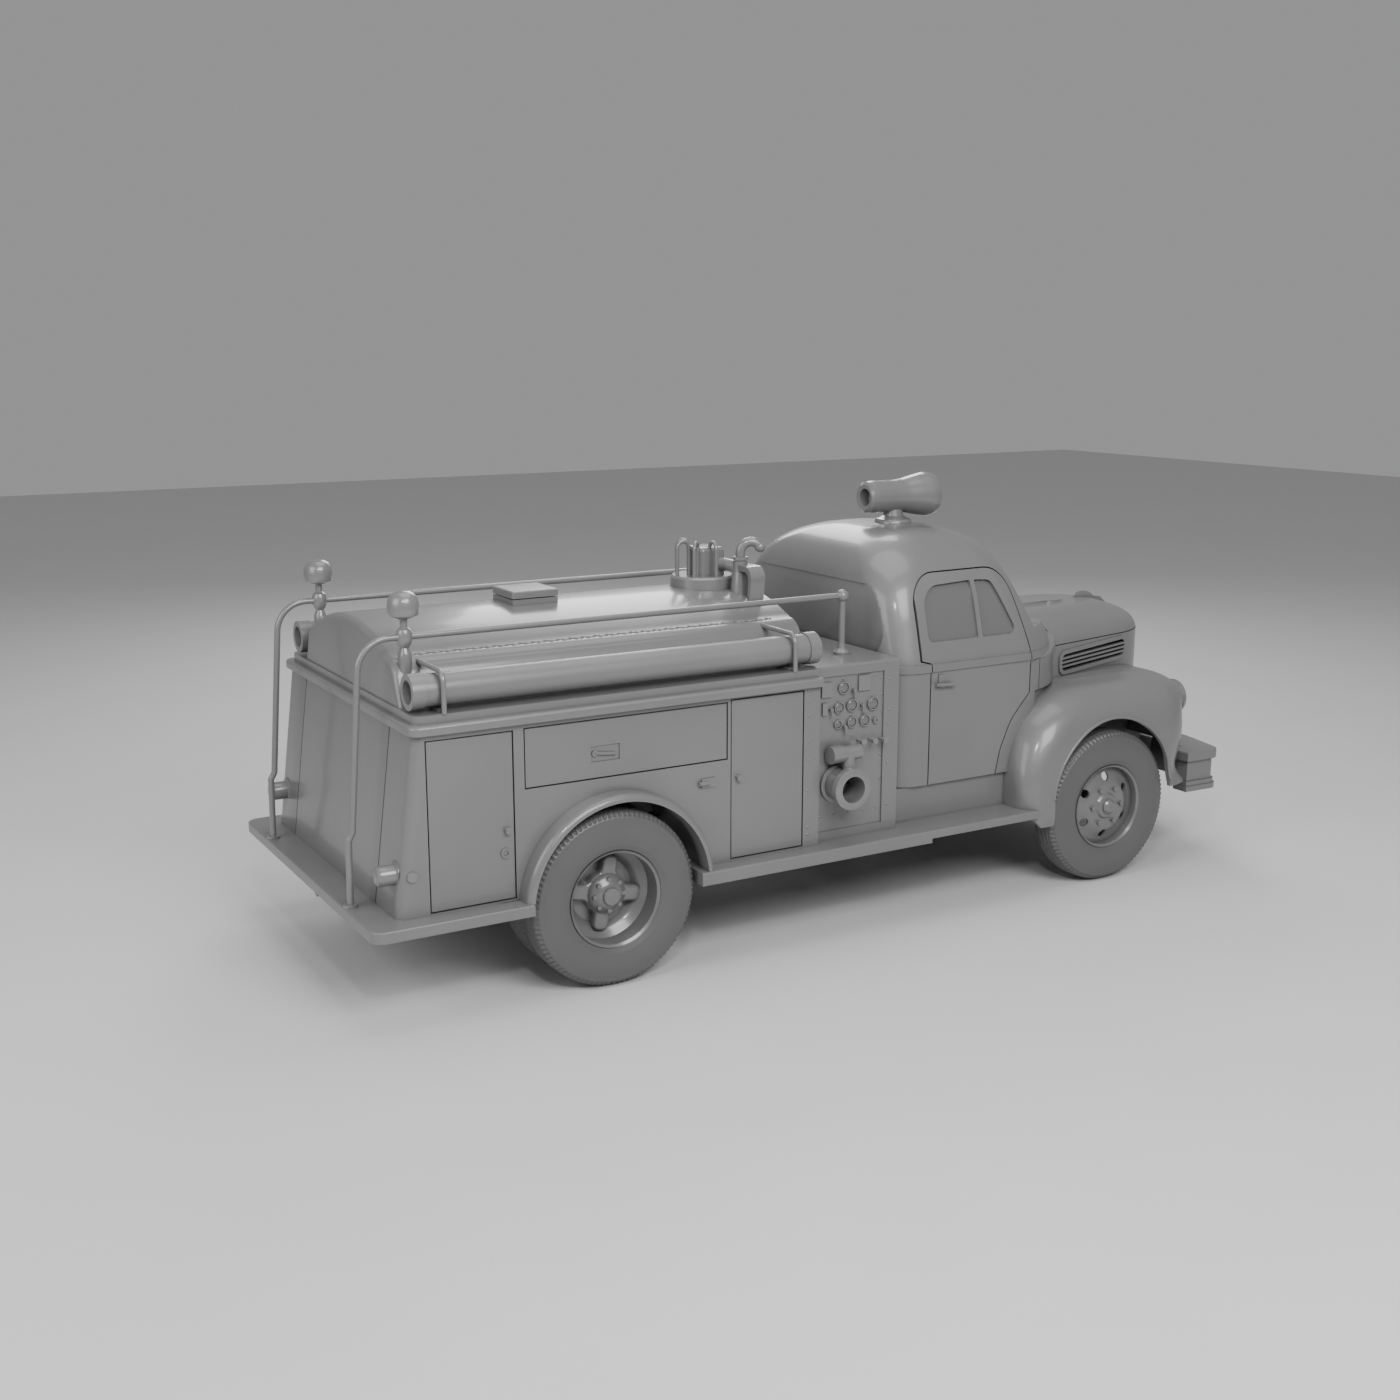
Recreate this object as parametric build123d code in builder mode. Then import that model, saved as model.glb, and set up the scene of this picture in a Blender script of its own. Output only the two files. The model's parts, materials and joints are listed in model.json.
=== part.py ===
"""Fire pumper with a conventional cab, built as separate named pieces in one frame.

Millimetres, +X forward, +Y left, +Z up.  The origin is on the ground, midway along the length.
"""
from math import cos, radians, sin, sqrt
import os

from build123d import *

os.makedirs("parts", exist_ok=True)

# Overall sizes and axles
LENGTH = 5920
HALF_STEP_WIDTH = 1118
WHEELBASE = 3450
REAR_OVERHANG = 1330
REAR_AXLE_X = -LENGTH / 2 + REAR_OVERHANG
FRONT_AXLE_X = REAR_AXLE_X + WHEELBASE
TAIL_X = -LENGTH / 2
BUMPER_FRONT_X = LENGTH / 2

# Wheels and tyres
TYRE_RADIUS = 475
TYRE_HALF_WIDTH = 102
BEAD_RADIUS = 262
RIM_RADIUS = BEAD_RADIUS - 0.5
FRONT_WHEEL_Y = 973
REAR_OUTER_Y = 976
TWIN_SPACING = 240
REAR_INNER_Y = REAR_OUTER_Y - TWIN_SPACING
KINGPIN_Y = 850

# Frame
RAIL_OUTER_Y = 430
RAIL_DEPTH = 60
RAIL_WEB = 12
RAIL_BOTTOM_Z = 575
RAIL_TOP_Z = 740
RAIL_REAR_X = REAR_AXLE_X - 1080
RAIL_FRONT_X = REAR_AXLE_X + 4335
SPRING_Y = 485
SPRING_WIDTH = 60

# Steps
STEP_TOP_Z = 548
STEP_THICK = 58
ARCH_REAR_X = REAR_AXLE_X - 485
ARCH_FRONT_X = REAR_AXLE_X + 490
BOARD_FRONT_X = REAR_AXLE_X + 2835
BOARD_STEP_X = REAR_AXLE_X + 2027

# Hose body
BODY_HALF_WIDTH = 1000
BODY_BOTTOM_Z = STEP_TOP_Z
BODY_TOP_Z = 1462
BODY_FRONT_X = REAR_AXLE_X + 1304
BODY_REAR_LOW_X = REAR_AXLE_X - 1165
BODY_REAR_TOP_X = REAR_AXLE_X - 1050
BODY_FLOOR_Z = 762
BODY_WALL = 30
BAY_INNER_Y = 590
BED_HALF_WIDTH = 555
FLARE_X = REAR_AXLE_X + 28
FLARE_Z = 495
FLARE_OPEN = 510
FLARE_RADIUS = 550
FLARE_ROUND = 37
FLARE_OUT_Y = 1108
WELL_RADIUS = 530
DOOR_THICK = 28
GAP = 6

# Ledge above the body and the cover of the hose bed
LEDGE_MID_Z = 1508
LEDGE_TOP_Z = 1550
LEDGE_HALF_WIDTH = 1035
LEDGE_STEP_Y = 985
COVER_REAR_X = REAR_AXLE_X - 1030
COVER_FRONT_X = REAR_AXLE_X + 1370
COVER_HALF_WIDTH = 760
COVER_TOP_Z = 1905
COVER_WALL = 26

# Pump house
PUMP_REAR_X = BODY_FRONT_X + 2
PUMP_FRONT_X = REAR_AXLE_X + 1880
PUMP_HALF_WIDTH = 952
PUMP_TOP_Z = LEDGE_TOP_Z
PUMP_WALL = 26

# Cab
CAB_BACK_X = REAR_AXLE_X + 1890
CAB_HALF_WIDTH = 900
CAB_BOTTOM_Z = 756
CAB_WALL = 42
BELT_Z = 1480
FIREWALL_X = REAR_AXLE_X + 2960
COWL_X = REAR_AXLE_X + 3300
DOOR_REAR_X = REAR_AXLE_X + 2145
DOOR_FRONT_X = REAR_AXLE_X + 2909
WINDOW_LOW_Z = 1598
SCREEN_LOW_Z = 1612
SCREEN_X = REAR_AXLE_X + 3195

# Nose, hood and front fenders
HOOD_LOW_Z = 1440
NOSE_LOW_Z = 770
NOSE_WALL = 24
NOSE_TIP_X = REAR_AXLE_X + 4450
NOSE_ROUND = 110
FENDER_IN_Y = 440
FENDER_SKIN = 24
ARCH_HALF = 480
ARCH_CENTRE_Z = 555


def side_plane(y):
    """Plane whose sketch is seen from the right: local x, y are X, Z.  Extrusion goes towards -Y."""
    return Plane(origin=(0, y, 0), x_dir=(1, 0, 0), z_dir=(0, -1, 0))


def front_plane(x):
    """Plane across the vehicle: local x, y are Y, Z.  Extrusion goes towards +X."""
    return Plane(origin=(x, 0, 0), x_dir=(0, 1, 0), z_dir=(1, 0, 0))


def block(x0, x1, y0, y1, z0, z1, mode=Mode.ADD):
    """Box between two corners, added to the part being built."""
    with Locations(((x0 + x1) / 2, (y0 + y1) / 2, (z0 + z1) / 2)):
        Box(x1 - x0, y1 - y0, z1 - z0, mode=mode)


def rod(start, end, radius, mode=Mode.ADD):
    """Round bar between two points, added to the part being built."""
    axis = Vector(*end) - Vector(*start)
    with Locations(Plane(origin=start, z_dir=axis)):
        Cylinder(radius, axis.length, align=(Align.CENTER, Align.CENTER, Align.MIN), mode=mode)


def prism(points, y0, y1, rounds=None):
    """Side outline of X, Z points carried across from y0 to y1; rounds maps a point's number to its radius."""
    with BuildPart() as solid:
        with BuildSketch(side_plane(y1)) as outline:
            with BuildLine():
                Polyline(*points, close=True)
            make_face()
            for number, radius in (rounds or {}).items():
                x, z = points[number]
                corner = outline.vertices().sort_by_distance((x, z, 0))
                fillet(corner[0], radius)
        extrude(amount=y1 - y0)
    return solid.part


def turned(points, axis):
    """Solid of revolution from a closed run of radius, height points.  The axis is X, Y or Z."""
    planes = {
        "X": Plane(origin=(0, 0, 0), x_dir=(0, 0, 1), z_dir=(0, 1, 0)),
        "Y": Plane(origin=(0, 0, 0), x_dir=(1, 0, 0), z_dir=(0, 0, 1)),
        "Z": Plane(origin=(0, 0, 0), x_dir=(1, 0, 0), z_dir=(0, -1, 0)),
    }
    axes = {"X": Axis.X, "Y": Axis.Y, "Z": Axis.Z}
    with BuildPart() as solid:
        with BuildSketch(planes[axis]):
            with BuildLine():
                Polyline(*points, close=True)
            make_face()
        revolve(axis=axes[axis])
    return solid.part


def both_sides(piece):
    """The piece on the left together with its mirror image on the right."""
    with BuildPart() as pair:
        add(piece)
        mirror(about=Plane.XZ)
    return pair.part


def other_side(piece):
    """The mirror image on the right of a piece built on the left."""
    with BuildPart() as twin:
        mirror(piece, about=Plane.XZ)
    return twin.part


pieces = {}

# Wheels: sections are radius, distance out from the tyre's middle plane
SHOULDER = TYRE_RADIUS - 20
with BuildPart() as tyre:
    with BuildSketch(Plane.XY):
        with BuildLine():
            Line((BEAD_RADIUS, -82), (BEAD_RADIUS, 82))
            ThreePointArc((BEAD_RADIUS, 82), (370, TYRE_HALF_WIDTH), (SHOULDER, 86))
            ThreePointArc((SHOULDER, 86), (TYRE_RADIUS - 6, 77), (TYRE_RADIUS, 60))
            Line((TYRE_RADIUS, 60), (TYRE_RADIUS, -60))
            ThreePointArc((TYRE_RADIUS, -60), (TYRE_RADIUS - 6, -77), (SHOULDER, -86))
            ThreePointArc((SHOULDER, -86), (370, -TYRE_HALF_WIDTH), (BEAD_RADIUS, -82))
        make_face()
    revolve(axis=Axis.Y)

front_disc = turned(
    ((36, -55), (36, 30), (0, 30), (0, 112), (34, 108), (46, 96), (46, 84), (72, 80), (84, 66),
     (150, 62), (205, 34), (248, 26), (RIM_RADIUS - 14, 74), (RIM_RADIUS, 84), (RIM_RADIUS, -84),
     (RIM_RADIUS - 14, -74), (RIM_RADIUS - 14, 12), (200, 20), (146, 48), (92, 50), (92, -55)), "Y")
FRONT_STUDS = 6
HAND_HOLE_RADIUS = 27
with BuildPart() as front_wheel:
    add(front_disc)
    with Locations(Plane(origin=(0, 0, 0), z_dir=(0, 1, 0))):
        with PolarLocations(184, FRONT_STUDS):
            Cylinder(HAND_HOLE_RADIUS, 200, mode=Mode.SUBTRACT)
        with PolarLocations(118, FRONT_STUDS, start_angle=30):
            Cylinder(13, 84, align=(Align.CENTER, Align.CENTER, Align.MIN))

# The twin's outer rim stands at 0 and its inner rim at -TWIN_SPACING
MATE_Y = -TWIN_SPACING / 2
rear_disc = turned(((42, MATE_Y - 90), (42, -6), (0, -6), (0, 42), (44, 40), (48, 34), (48, 22),
                    (66, 16), (104, -14), (112, -34), (112, -88), (176, -92), (204, -60), (248, -34),
                    (RIM_RADIUS - 14, 74), (RIM_RADIUS, 84), (RIM_RADIUS, -84), (RIM_RADIUS - 14, -74),
                    (RIM_RADIUS - 14, -50), (212, -78), (190, MATE_Y), (212, MATE_Y - 42),
                    (RIM_RADIUS - 14, MATE_Y - 70), (RIM_RADIUS - 14, -TWIN_SPACING + 74),
                    (RIM_RADIUS, -TWIN_SPACING + 84), (RIM_RADIUS, -TWIN_SPACING - 84),
                    (RIM_RADIUS - 14, -TWIN_SPACING - 74), (RIM_RADIUS - 14, MATE_Y - 86),
                    (204, MATE_Y - 60), (176, MATE_Y - 28), (100, MATE_Y - 28), (100, MATE_Y - 90)), "Y")
# Four lobes of the cast hub reach out to the rim; the sketch plane faces out along +Y
LOBES = 4
LOBE_TURN = 10
LOBE_REACH = 206
LOBE_WIDTH = 86
HUB_BOLTS = 8
HUB_BORE = 42
HUB_BOLT_RADIUS = 84
with BuildPart() as spider:
    with BuildSketch(Plane(origin=(0, -88, 0), z_dir=(0, 1, 0))) as star:
        Circle(118)
        with PolarLocations(LOBE_REACH / 2, LOBES, start_angle=LOBE_TURN):
            Rectangle(LOBE_REACH, LOBE_WIDTH)
        fillet(star.vertices().filter_by(lambda point: Vector(*point).length > LOBE_REACH - 5), 34)
        fillet(star.vertices().filter_by(lambda point: Vector(*point).length < 130), 40)
    extrude(amount=58)
    fillet(spider.faces().sort_by(Axis.Y)[-1].outer_wire().edges(), 16)
with BuildPart() as rear_wheel:
    add(rear_disc)
    with Locations(Plane(origin=(0, 0, 0), z_dir=(0, 1, 0))):
        with PolarLocations(HUB_BOLT_RADIUS, HUB_BOLTS):
            with Locations((0, 0, -40)):
                Cone(20, 12, 50, align=(Align.CENTER, Align.CENTER, Align.MIN))
    add(spider.part)
    rod((0, MATE_Y - 100, 0), (0, -6, 0), HUB_BORE, mode=Mode.SUBTRACT)

for side, name in ((1, "left"), (-1, "right")):
    with BuildPart() as front_tyre:
        with Locations((FRONT_AXLE_X, side * FRONT_WHEEL_Y, TYRE_RADIUS)):
            add(tyre.part)
    pieces["front_tyre_" + name] = front_tyre.part
    with BuildPart() as rear_tyres:
        with Locations((REAR_AXLE_X, side * REAR_OUTER_Y, TYRE_RADIUS),
                       (REAR_AXLE_X, side * REAR_INNER_Y, TYRE_RADIUS)):
            add(tyre.part)
    pieces["rear_tyres_" + name] = rear_tyres.part
with BuildPart() as front_wheel_left:
    with Locations((FRONT_AXLE_X, FRONT_WHEEL_Y, TYRE_RADIUS)):
        add(front_wheel.part)
pieces["front_wheel_left"] = front_wheel_left.part
pieces["front_wheel_right"] = other_side(front_wheel_left.part)
with BuildPart() as rear_wheels_left:
    with Locations((REAR_AXLE_X, REAR_OUTER_Y, TYRE_RADIUS)):
        add(rear_wheel.part)
pieces["rear_wheels_left"] = rear_wheels_left.part
pieces["rear_wheels_right"] = other_side(rear_wheels_left.part)

# Steering knuckles: a fork round the axle's end, the stub for the wheel and the arm for the tie rod
FORK_GAP = 6
BOSS_HALF = 42
ARM_X = FRONT_AXLE_X - 165
ARM_Y = KINGPIN_Y
ARM_Z = 402
with BuildPart() as knuckle:
    for low, high in ((BOSS_HALF + FORK_GAP, BOSS_HALF + 34), (-BOSS_HALF - 34, -BOSS_HALF - FORK_GAP)):
        rod((FRONT_AXLE_X, KINGPIN_Y, TYRE_RADIUS + low), (FRONT_AXLE_X, KINGPIN_Y, TYRE_RADIUS + high), 34)
        block(FRONT_AXLE_X - 30, FRONT_AXLE_X + 30, KINGPIN_Y, KINGPIN_Y + 60,
              TYRE_RADIUS + low, TYRE_RADIUS + high)
    block(FRONT_AXLE_X - 40, FRONT_AXLE_X + 40, KINGPIN_Y + 46, KINGPIN_Y + 64,
          TYRE_RADIUS - BOSS_HALF - 34, TYRE_RADIUS + BOSS_HALF + 34)
    rod((FRONT_AXLE_X, KINGPIN_Y + 60, TYRE_RADIUS), (FRONT_AXLE_X, FRONT_WHEEL_Y + 24, TYRE_RADIUS), 30)
    rod((FRONT_AXLE_X, KINGPIN_Y, TYRE_RADIUS - BOSS_HALF - 30),
        (FRONT_AXLE_X, KINGPIN_Y, TYRE_RADIUS + BOSS_HALF + 30), 14)
    rod((FRONT_AXLE_X, KINGPIN_Y, ARM_Z), (ARM_X, ARM_Y, ARM_Z - 14), 13)
    rod((ARM_X, ARM_Y, ARM_Z - 28), (ARM_X, ARM_Y, ARM_Z), 18)
    rod((ARM_X, ARM_Y, ARM_Z), (ARM_X, ARM_Y, ARM_Z + 36), 9)
pieces["knuckle_left"] = knuckle.part
pieces["knuckle_right"] = other_side(knuckle.part)

with BuildPart() as tie_rod:
    rod((ARM_X, -ARM_Y + 22, ARM_Z + 20), (ARM_X, ARM_Y - 22, ARM_Z + 20), 10)
    for side in (1, -1):
        rod((ARM_X, side * ARM_Y, ARM_Z + 7), (ARM_X, side * ARM_Y, ARM_Z + 33), 27)
        rod((ARM_X, side * ARM_Y, ARM_Z), (ARM_X, side * ARM_Y, ARM_Z + 40), 15, mode=Mode.SUBTRACT)
pieces["tie_rod"] = tie_rod.part

# Front axle: a dropped beam between the kingpin bosses
with BuildPart() as front_axle:
    with BuildSketch(front_plane(FRONT_AXLE_X - 34)):
        with BuildLine():
            Polyline((0, 372), (620, 372), (760, 430), (KINGPIN_Y, 436), (KINGPIN_Y, 514), (740, 508),
                     (600, 446), (0, 446), close=True)
        make_face()
        mirror(about=Plane.YZ)
    extrude(amount=68)
    for side in (1, -1):
        with Locations((FRONT_AXLE_X, side * KINGPIN_Y, TYRE_RADIUS)):
            Cylinder(36, 2 * BOSS_HALF)
            Cylinder(20.5, 200, mode=Mode.SUBTRACT)
        block(FRONT_AXLE_X - 60, FRONT_AXLE_X + 60, side * SPRING_Y - 42, side * SPRING_Y + 42, 440, 455)
pieces["front_axle"] = front_axle.part

# Rear axle: tube, bowl of the final drive and the stubs that carry the twin wheels
bowl = turned(((0, -175), (70, -165), (150, -95), (180, 0), (150, 95), (70, 165), (0, 175)), "X")
with BuildPart() as rear_axle:
    rod((REAR_AXLE_X, -585, TYRE_RADIUS), (REAR_AXLE_X, 585, TYRE_RADIUS), 66)
    rod((REAR_AXLE_X, -965, TYRE_RADIUS), (REAR_AXLE_X, 965, TYRE_RADIUS), 36)
    with Locations((REAR_AXLE_X, 0, TYRE_RADIUS)):
        add(bowl)
    for side in (1, -1):
        block(REAR_AXLE_X - 70, REAR_AXLE_X + 70, side * SPRING_Y - 42, side * SPRING_Y + 42, 500, 552)
pieces["rear_axle"] = rear_axle.part

# Leaf springs: columns are the axle's x, the half length, the seat height and the rise to the ends
SPRINGS = ((FRONT_AXLE_X, 500, 455, 105), (REAR_AXLE_X, 590, 552, 95))
LEAVES = 4
LEAF_THICK = 11
with BuildPart() as springs:
    for axle_x, half, seat, rise in SPRINGS:
        bend = (half * half + rise * rise) / (2 * rise)
        stack = LEAVES * LEAF_THICK
        for side in (1, -1):
            with BuildSketch(side_plane(side * SPRING_Y + SPRING_WIDTH / 2)):
                for leaf in range(LEAVES):
                    reach = half * (1 - leaf * 0.19)
                    top = seat + stack - leaf * LEAF_THICK
                    lift = bend - sqrt(bend * bend - reach * reach)
                    with BuildLine():
                        ThreePointArc((axle_x - reach, top + lift), (axle_x, top),
                                      (axle_x + reach, top + lift))
                        Line((axle_x + reach, top + lift), (axle_x + reach, top + lift - LEAF_THICK))
                        ThreePointArc((axle_x + reach, top + lift - LEAF_THICK), (axle_x, top - LEAF_THICK),
                                      (axle_x - reach, top + lift - LEAF_THICK))
                        Line((axle_x - reach, top + lift - LEAF_THICK), (axle_x - reach, top + lift))
                    make_face()
            extrude(amount=SPRING_WIDTH)
pieces["leaf_springs"] = springs.part

# Frame: two channel rails, cross members and the spring hangers
CROSS_MEMBERS = (-1080, -650, 640, 1330, 2020, 4250)
CROSS_LOW_Z = 702
SEAM = 1
with BuildPart() as frame:
    for side in (1, -1):
        outer = side * RAIL_OUTER_Y
        inner = side * (RAIL_OUTER_Y - RAIL_DEPTH)
        web = side * (RAIL_OUTER_Y - RAIL_WEB)
        block(RAIL_REAR_X, RAIL_FRONT_X, min(outer, inner), max(outer, inner), RAIL_BOTTOM_Z, RAIL_TOP_Z)
        block(RAIL_REAR_X, RAIL_FRONT_X, min(inner, web), max(inner, web), RAIL_BOTTOM_Z + RAIL_WEB,
              RAIL_TOP_Z - RAIL_WEB, mode=Mode.SUBTRACT)
        for axle_x, half, seat, rise in SPRINGS:
            eye_z = seat + LEAVES * LEAF_THICK + rise
            for end in (-1, 1):
                x = axle_x + end * (half - 30)
                low, high = sorted((outer + side * SEAM, side * (SPRING_Y + SPRING_WIDTH / 2)))
                block(x - 30, x + 30, low, high, eye_z + 1, RAIL_TOP_Z)
    for place in CROSS_MEMBERS:
        block(REAR_AXLE_X + place, REAR_AXLE_X + place + 70, -RAIL_OUTER_Y + RAIL_WEB + SEAM,
              RAIL_OUTER_Y - RAIL_WEB - SEAM, CROSS_LOW_Z, RAIL_TOP_Z - RAIL_WEB - SEAM)
pieces["frame_rails"] = frame.part

# Engine with gearbox, pump case and shafts
with BuildPart() as drive:
    block(REAR_AXLE_X + 3010, REAR_AXLE_X + 3880, -270, 270, 600, 1120)
    block(REAR_AXLE_X + 2560, REAR_AXLE_X + 3008, -150, 150, 590, 735)
    block(REAR_AXLE_X + 1440, REAR_AXLE_X + 1740, -300, 300, 600, 1000)
    rod((REAR_AXLE_X + 1746, 0, 660), (REAR_AXLE_X + 2554, 0, 660), 38)
    rod((REAR_AXLE_X + 190, 0, 500), (REAR_AXLE_X + 1434, 0, 640), 38)
pieces["drive_train"] = drive.part

with BuildPart() as radiator:
    block(REAR_AXLE_X + 4060, REAR_AXLE_X + 4140, -330, 330, 780, 1290)
    block(REAR_AXLE_X + 4050, REAR_AXLE_X + 4150, -345, 345, 1290, 1350)
    block(REAR_AXLE_X + 4050, REAR_AXLE_X + 4150, -345, 345, 741, 780)
pieces["radiator"] = radiator.part


def at(offset):
    """Distance along the vehicle of a place measured forward from the rear axle."""
    return REAR_AXLE_X + offset


# Greenhouse in plan, from the belt to the crown: columns are height, half width, back, back corner radius,
# start and end of the front corner along x, and half width of the front
GREENHOUSE = (
    (1400, 900, 1890, 190, 2909, 3250, 640),
    (1560, 880, 1890, 195, 2870, 3225, 660),
    (1740, 834, 1890, 205, 2800, 3135, 600),
    (1900, 780, 1900, 225, 2735, 3045, 530),
    (2030, 695, 1944, 250, 2680, 2950, 445),
    (2115, 585, 2018, 260, 2620, 2850, 370),
    (2170, 440, 2120, 240, 2560, 2745, 260),
    (2198, 250, 2260, 160, 2500, 2630, 130),
)
CROWN_Z = GREENHOUSE[-1][0]
DOME_FOOT_Z = GREENHOUSE[0][0]
COWL_TOP_Z = 1606
COWL_LOW_Z = 1235
COWL_CROWN_HALF = 940


def greenhouse_volume(inset):
    """Dome of the cab as a loft through plan outlines, each drawn in by the inset."""
    sink = inset / (CROWN_Z - GREENHOUSE[0][0])
    with BuildPart() as volume:
        for z, half, back, corner, bend, front, half_front in GREENHOUSE:
            level = z - sink * (z - GREENHOUSE[0][0])
            side = half - inset
            rear = at(back) + inset
            turn = corner - inset
            nose = at(front) - inset
            wing = half_front - inset / 2
            middle = (at(bend) + 0.62 * (nose - at(bend)), side - 0.44 * (side - wing))
            diagonal = turn * (1 - sqrt(0.5))
            with BuildSketch(Plane.XY.offset(level)):
                with BuildLine():
                    Line((rear, -side + turn), (rear, side - turn))
                    ThreePointArc((rear, side - turn), (rear + diagonal, side - diagonal),
                                  (rear + turn, side))
                    Line((rear + turn, side), (at(bend), side))
                    ThreePointArc((at(bend), side), middle, (nose, wing))
                    Line((nose, wing), (nose, -wing))
                    ThreePointArc((nose, -wing), (middle[0], -middle[1]), (at(bend), -side))
                    Line((at(bend), -side), (rear + turn, -side))
                    ThreePointArc((rear + turn, -side), (rear + diagonal, -side + diagonal),
                                  (rear, -side + turn))
                make_face()
        loft()
    return volume.part


def cab_volume(inset):
    """Cab as a base of side outline and plan carried through each other below the greenhouse's dome."""
    dome = greenhouse_volume(inset)
    front = COWL_X - inset
    firewall = FIREWALL_X - inset
    back = CAB_BACK_X + inset
    floor = CAB_BOTTOM_Z + inset
    shelf = COWL_LOW_Z + inset
    cowl_top = COWL_TOP_Z - inset
    crown_foot = DOME_FOOT_Z - inset / 2
    with BuildPart() as volume:
        with BuildSketch(side_plane(1100)):
            with BuildLine():
                Polyline((front, cowl_top), (front, shelf), (firewall, shelf), (firewall, floor),
                         (back, floor), (back, DOME_FOOT_Z), (DOOR_FRONT_X, DOME_FOOT_Z),
                         (SCREEN_X - inset, cowl_top), close=True)
            make_face()
        extrude(amount=2200)
        with BuildSketch(Plane.XY.offset(600)) as plan:
            with BuildLine():
                Polyline((COWL_X, 0), (COWL_X, 665))
                ThreePointArc((COWL_X, 665), (at(3120), 818), (DOOR_FRONT_X, CAB_HALF_WIDTH))
                Polyline((DOOR_FRONT_X, CAB_HALF_WIDTH), (CAB_BACK_X, CAB_HALF_WIDTH), (CAB_BACK_X, 0),
                         (COWL_X, 0))
            make_face()
            back_corner = plan.vertices().sort_by_distance((CAB_BACK_X, CAB_HALF_WIDTH, 600))[0]
            fillet(back_corner, 190)
            mirror(about=Plane.XZ)
            if inset:
                offset(amount=-inset)
        extrude(amount=1700, mode=Mode.INTERSECT)
        with BuildSketch(front_plane(CAB_BACK_X - 50)):
            with BuildLine():
                ThreePointArc((-COWL_CROWN_HALF, crown_foot), (0, cowl_top), (COWL_CROWN_HALF, crown_foot))
                Polyline((COWL_CROWN_HALF, crown_foot), (COWL_CROWN_HALF, 500), (-COWL_CROWN_HALF, 500),
                         (-COWL_CROWN_HALF, crown_foot))
            make_face()
        extrude(amount=1700, mode=Mode.INTERSECT)
        add(dome)
        for side in (1, -1):
            with BuildSketch(Plane.XY.offset(SCREEN_LOW_Z)):
                with BuildLine():
                    Polyline((SCREEN_X - inset, 0), (SCREEN_X - 205 - inset, side * 840),
                             (SCREEN_X + 400, side * 840), (SCREEN_X + 400, 0), close=True)
                make_face()
            extrude(amount=900, dir=(-0.46, 0, 0.89), mode=Mode.SUBTRACT)
    return volume.part


# Front fender in plan, from its foot to its crown: columns are height, tail and front along x, outer side,
# and the corner radii of tail and front
FENDER = (
    (430, 2752, 4140, 1096, 90, 310),
    (620, 2750, 4175, 1100, 120, 325),
    (800, 2758, 4200, 1100, 170, 330),
    (950, 2800, 4212, 1094, 220, 330),
    (1060, 2855, 4214, 1072, 255, 325),
    (1135, 2925, 4205, 1035, 275, 310),
    (1185, 3015, 4170, 980, 270, 290),
    (1215, 3130, 4095, 890, 230, 240),
    (1236, 3265, 3960, 740, 140, 150),
)
FENDER_FOOT_Z = FENDER[0][0]
FENDER_CROWN_Z = FENDER[-1][0]
FENDER_CHIN_Z = 548


def fender_volume(inset):
    """Left front fender as a closed solid: a loft through plan outlines that slopes in towards the nose."""
    sink = inset / (FENDER_CROWN_Z - FENDER_FOOT_Z)
    with BuildPart() as volume:
        for z, tail, front, side, tail_round, front_round in FENDER:
            rear = at(tail) + inset
            nose = at(front) - inset
            outer = side - inset
            first = tail_round - 0.4 * inset
            last = front_round - 0.4 * inset
            bow = 1 - sqrt(0.5)
            with BuildSketch(Plane.XY.offset(z - sink * (z - FENDER_FOOT_Z))):
                with BuildLine():
                    Line((rear, FENDER_IN_Y + inset), (rear, outer - first))
                    ThreePointArc((rear, outer - first), (rear + first * bow, outer - first * bow),
                                  (rear + first, outer))
                    Line((rear + first, outer), (nose - last, outer))
                    ThreePointArc((nose - last, outer), (nose - last * bow, outer - last * bow),
                                  (nose, outer - last))
                    Polyline((nose, outer - last), (nose, FENDER_IN_Y + inset), (rear, FENDER_IN_Y + inset))
                make_face()
        loft()
        with BuildSketch(front_plane(at(2600))):
            with BuildLine():
                Polyline((1200, 300), (1200, 1400 - inset), (850, 1400 - inset), (850, 1330 - inset))
                ThreePointArc((850, 1330 - inset), (620, 1262 - inset), (380, 1150 - inset))
                Polyline((380, 1150 - inset), (380, 300), (1200, 300))
            make_face()
        extrude(amount=1800, mode=Mode.INTERSECT)
        with BuildSketch(side_plane(1200)):
            with BuildLine():
                Polyline((at(2600), FENDER_CHIN_Z), (at(2762), FENDER_CHIN_Z), (at(2870), FENDER_FOOT_Z),
                         (at(2870), 300), (at(2600), 300), close=True)
            make_face()
        extrude(amount=900, mode=Mode.SUBTRACT)
        block(at(3800), at(4400), 300, 1200, 300, FENDER_CHIN_Z, mode=Mode.SUBTRACT)
    return volume.part


def nose_plan(low, high, inset):
    """Nose in plan, carried up from low to high: straight sides that taper to a round front."""
    with BuildPart() as volume:
        with BuildSketch(Plane.XY.offset(low)) as plan:
            with BuildLine():
                Line((COWL_X, -655), (at(4050), -505))
                ThreePointArc((at(4050), -505), (NOSE_TIP_X, 0), (at(4050), 505))
                Polyline((at(4050), 505), (COWL_X, 655), (COWL_X, -655))
            make_face()
            fillet(plan.vertices().filter_by_position(Axis.X, at(4040), at(4060)), NOSE_ROUND)
            if inset:
                offset(amount=-inset)
        extrude(amount=high - low)
    return volume.part


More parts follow.
